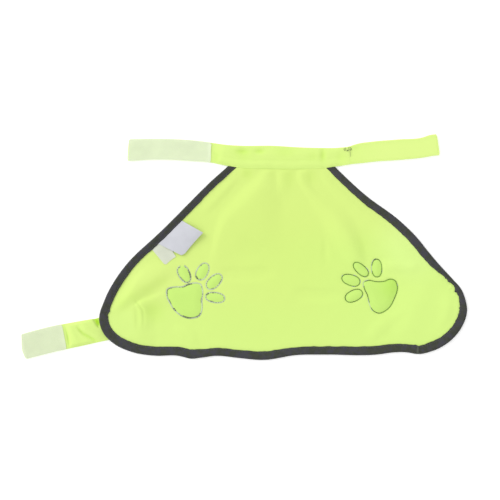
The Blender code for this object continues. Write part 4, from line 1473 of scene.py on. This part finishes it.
def paw_stitches():
    """Silver thread round the paws, dark thread from the outer face pulled up between its stitches, and dark
    lines of painted groove shade beside it, inside the outlines.
    """
    zigzag = (0.62, 1, 0, -0.2)
    left_tone, left_dark = darker(0.05, LEFT_DARK, 61), darker(0.1, LEFT_DARK, 63)
    knots, beside = broken(0, LEFT_DARK, 0.4, 66), broken(0.35, LEFT_DARK, 0.45, 64)
    right_tone, right_dark = darker(0, RIGHT_DARK, 67), darker(0.15, RIGHT_DARK, 65)
    pulled_up = broken(0.75, RIGHT_PALE, 0.35, 68)

    def not_pale(plan, at):
        return closeness(RIGHT_PALE, plan) < 0.8

    for name, rings, lay, radius, finish, tone_of, keep_of in (
        ("left_paw_stitches", LEFT_PAW, (*zigzag, 0.85), PALE_THREAD, SILVER_THREAD, left_tone, None),
        ("left_paw_knots", LEFT_PAW, (3, 0.36, 0.72, 0.1), 0.45, SLATE_THREAD_AND_SHADE, left_dark, knots),
        # painted shade: this side line and the olive line below are the groove's shade inside the outlines
        ("left_paw_groove_shade", LEFT_PAW, (2.1, 0.8, 0.3, 0.85), 0.7 * DARK_LINE, SLATE_THREAD_AND_SHADE, left_dark, beside),
        ("right_paw_groove_shade", RIGHT_PAW, (2.2, 0.92, 0, 0.4), DARK_LINE, OLIVE_GROOVE_SHADE, right_dark, not_pale),
        ("right_paw_pale", RIGHT_PAW, (*zigzag, 0.35), PALE_THREAD, SILVER_THREAD, right_tone, pulled_up),
    ):
        paw_line(name, rings, lay, radius, finish, tone_of, keep_of)


def paw_films():
    """Reflective shapes on the outer face, which lies down here. They are sewn on round their edges."""
    points, faces = [], []
    for ring in PAW_RINGS:
        edge = ring + FILM_MARGIN * unit(ring - ring.mean(axis=0))
        plan, triangles = plan_mesh(edge, spots_in(edge, FILM_STEP, 0.5 * FILM_STEP))
        made, wall = two_faced(plan, triangles, film_bottom(plan), FILM)
        faces += [[i + len(points) for i in face] for face in wall]
        points += made.tolist()

    def tone(plan, at):
        return 0.35 + 0.2 * wander(at, 7, 71)

    paw_line("film_stitches", PAW_RINGS, (2.4, 0.85, 0, 0), 0.2, SILVER_THREAD, tone, facing=-1)
    new_object("paw_films", points, faces, FILM_SILVER)


def strap_spots(line, top, s, up):
    """Points on a strap's upper face at distances s along it, up from its right edge."""
    s, up = np.broadcast_arrays(s, up)
    height = top(s[:, None], up[:, None])[:, 0] + STRAP_CLOTH / 2
    return line.place(s, up - line.read(s)[2] / 2, height)


def strap_row(line, top, first, last, up):
    """A row of stitches along a strap, up from its right edge, or down from its left one if up is below 0."""
    rows = dashes(last - first, *STRAP_LAY, first)
    return [strap_spots(line, top, s, up + line.read(s)[2] * (up < 0)) for s in rows]


def strap_stitches():
    """Thread that matches the cloth: along the straps, across the neck strap's end and round the hooks."""
    seam = NECK.at_x((STRAP_THICKENS[0], STRAP_CLIMBS[0]))
    box = NECK.at_x(BOX_ENDS)
    rows = [
        strap_row(NECK, neck_top, *seam, SEAM_AT),
        strap_row(NECK, neck_top, seam[0], box[1], HEM_STITCHED),
        strap_row(NECK, neck_top, *box, -FOLD_STITCHED),
        strap_row(BELLY, belly_top, *BELLY.at_x(BELLY_STITCHED), HEM_STITCHED),
    ]
    stitches("strap_stitches", rows, THREAD * 0.5, YELLOW_THREAD)

    rows = []
    for s in box:
        ups = dashes(NECK.read(s)[2] - 2 * BOX_INSET, *STRAP_LAY, BOX_INSET)
        rows.append([strap_spots(NECK, neck_top, s, up) for up in ups])
    stitches("box_stitches", rows, THREAD * 0.75, YELLOW_THREAD)

    def reach(line, s):
        return line.read(s)[2] / 2 - HOOK_MARGIN - TAPE_STITCHED

    rows = []
    height = ON_HOOK_STRAP + TAPE_BASE + 0.05
    for line, ends in ((NECK, NECK_HOOK_ENDS), (BELLY, BELLY_HOOK_ENDS)):
        first, last = line.at_x(ends) + (TAPE_ENDS_STITCHED, -TAPE_ENDS_STITCHED)
        for side in (-1, 1):
            along = dashes(last - first, *TAPE_LAY, first)
            rows.append([line.place(s, side * reach(line, s), height) for s in along])
        for s in (first, last):
            across = dashes(2 * reach(line, s), *TAPE_LAY, -reach(line, s))
            rows.append([line.place(s, aside, height) for aside in across])
    stitches("tape_stitches", rows, THREAD * 0.75, PALE_THREAD_FINISH)


def thread_tangle():
    """Loose dark thread where the neck strap's seam was locked off."""
    paths = []
    for i, knots in enumerate(TANGLE):
        way = curve_through(knots)
        turn = np.pi * np.linspace(0, 1, len(way))
        at = NECK.at_x(way[:, 0])
        point, direction, width = NECK.read(at)
        up = ((way - point) * side_of(direction)).sum(axis=1) + width / 2
        loose = 0.2 + 0.15 * i * np.sin(turn) + 0.3 * np.sin(2 * turn) ** 2
        height = neck_top(at[:, None], up[:, None])[:, 0] + STRAP_CLOTH / 2 + loose
        paths.append(raised(way, height))
    upright = np.array([(0, 0, 1)])
    threads("thread_tangle", np.array(paths), upright, TANGLE_THREAD, 6, DARK_THREAD, 0.8)


# The stage


def stage():
    bpy.ops.mesh.primitive_plane_add(size=FLOOR_SIZE * MM, location=(0, 0, -FLOOR_DROP * MM))
    floor = bpy.context.object
    floor.name = "floor"
    floor.data.materials.append(floor_finish())

    world = bpy.data.worlds.new("studio")
    bpy.context.scene.world = world
    world.use_nodes = True
    background = world.node_tree.nodes["Background"]
    background.inputs["Color"].default_value = (1, 1, 1, 1)
    background.inputs["Strength"].default_value = SKY_STRENGTH

    sun = bpy.data.lights.new("soft_key", "SUN")
    sun.energy = SUN_STRENGTH
    sun.angle = math.radians(SUN_WIDTH)
    key = link("soft_key", sun)
    key.rotation_mode = "QUATERNION"
    key.rotation_quaternion = Vector(SUN_WAY).to_track_quat("-Z", "Y")

    camera = bpy.data.cameras.new("camera")
    camera.sensor_width = SENSOR
    camera.lens = CAMERA_HEIGHT * SENSOR / PHOTO_WIDTH
    camera.clip_end = 20
    view = link("camera", camera)
    view.location = (PHOTO_MIDDLE[0] * MM, PHOTO_MIDDLE[1] * MM, CAMERA_HEIGHT * MM)
    bpy.context.scene.camera = view
    bpy.context.scene.view_settings.view_transform = "Standard"


back_panel()
edge_binding()
binding_stitches()
neck_strap()
belly_strap()
hook_tapes()
loop_tapes()
label("care_label_tape", "care_label", CARE_LABEL, 0.1, 0.25, LABEL_NYLON)
label("woven_label_tape", "woven_label", WOVEN_LABEL, 0.6, LABEL_CURL, LABEL_SATIN)
paw_films()
paw_stitches()
strap_stitches()
thread_tangle()
stage()
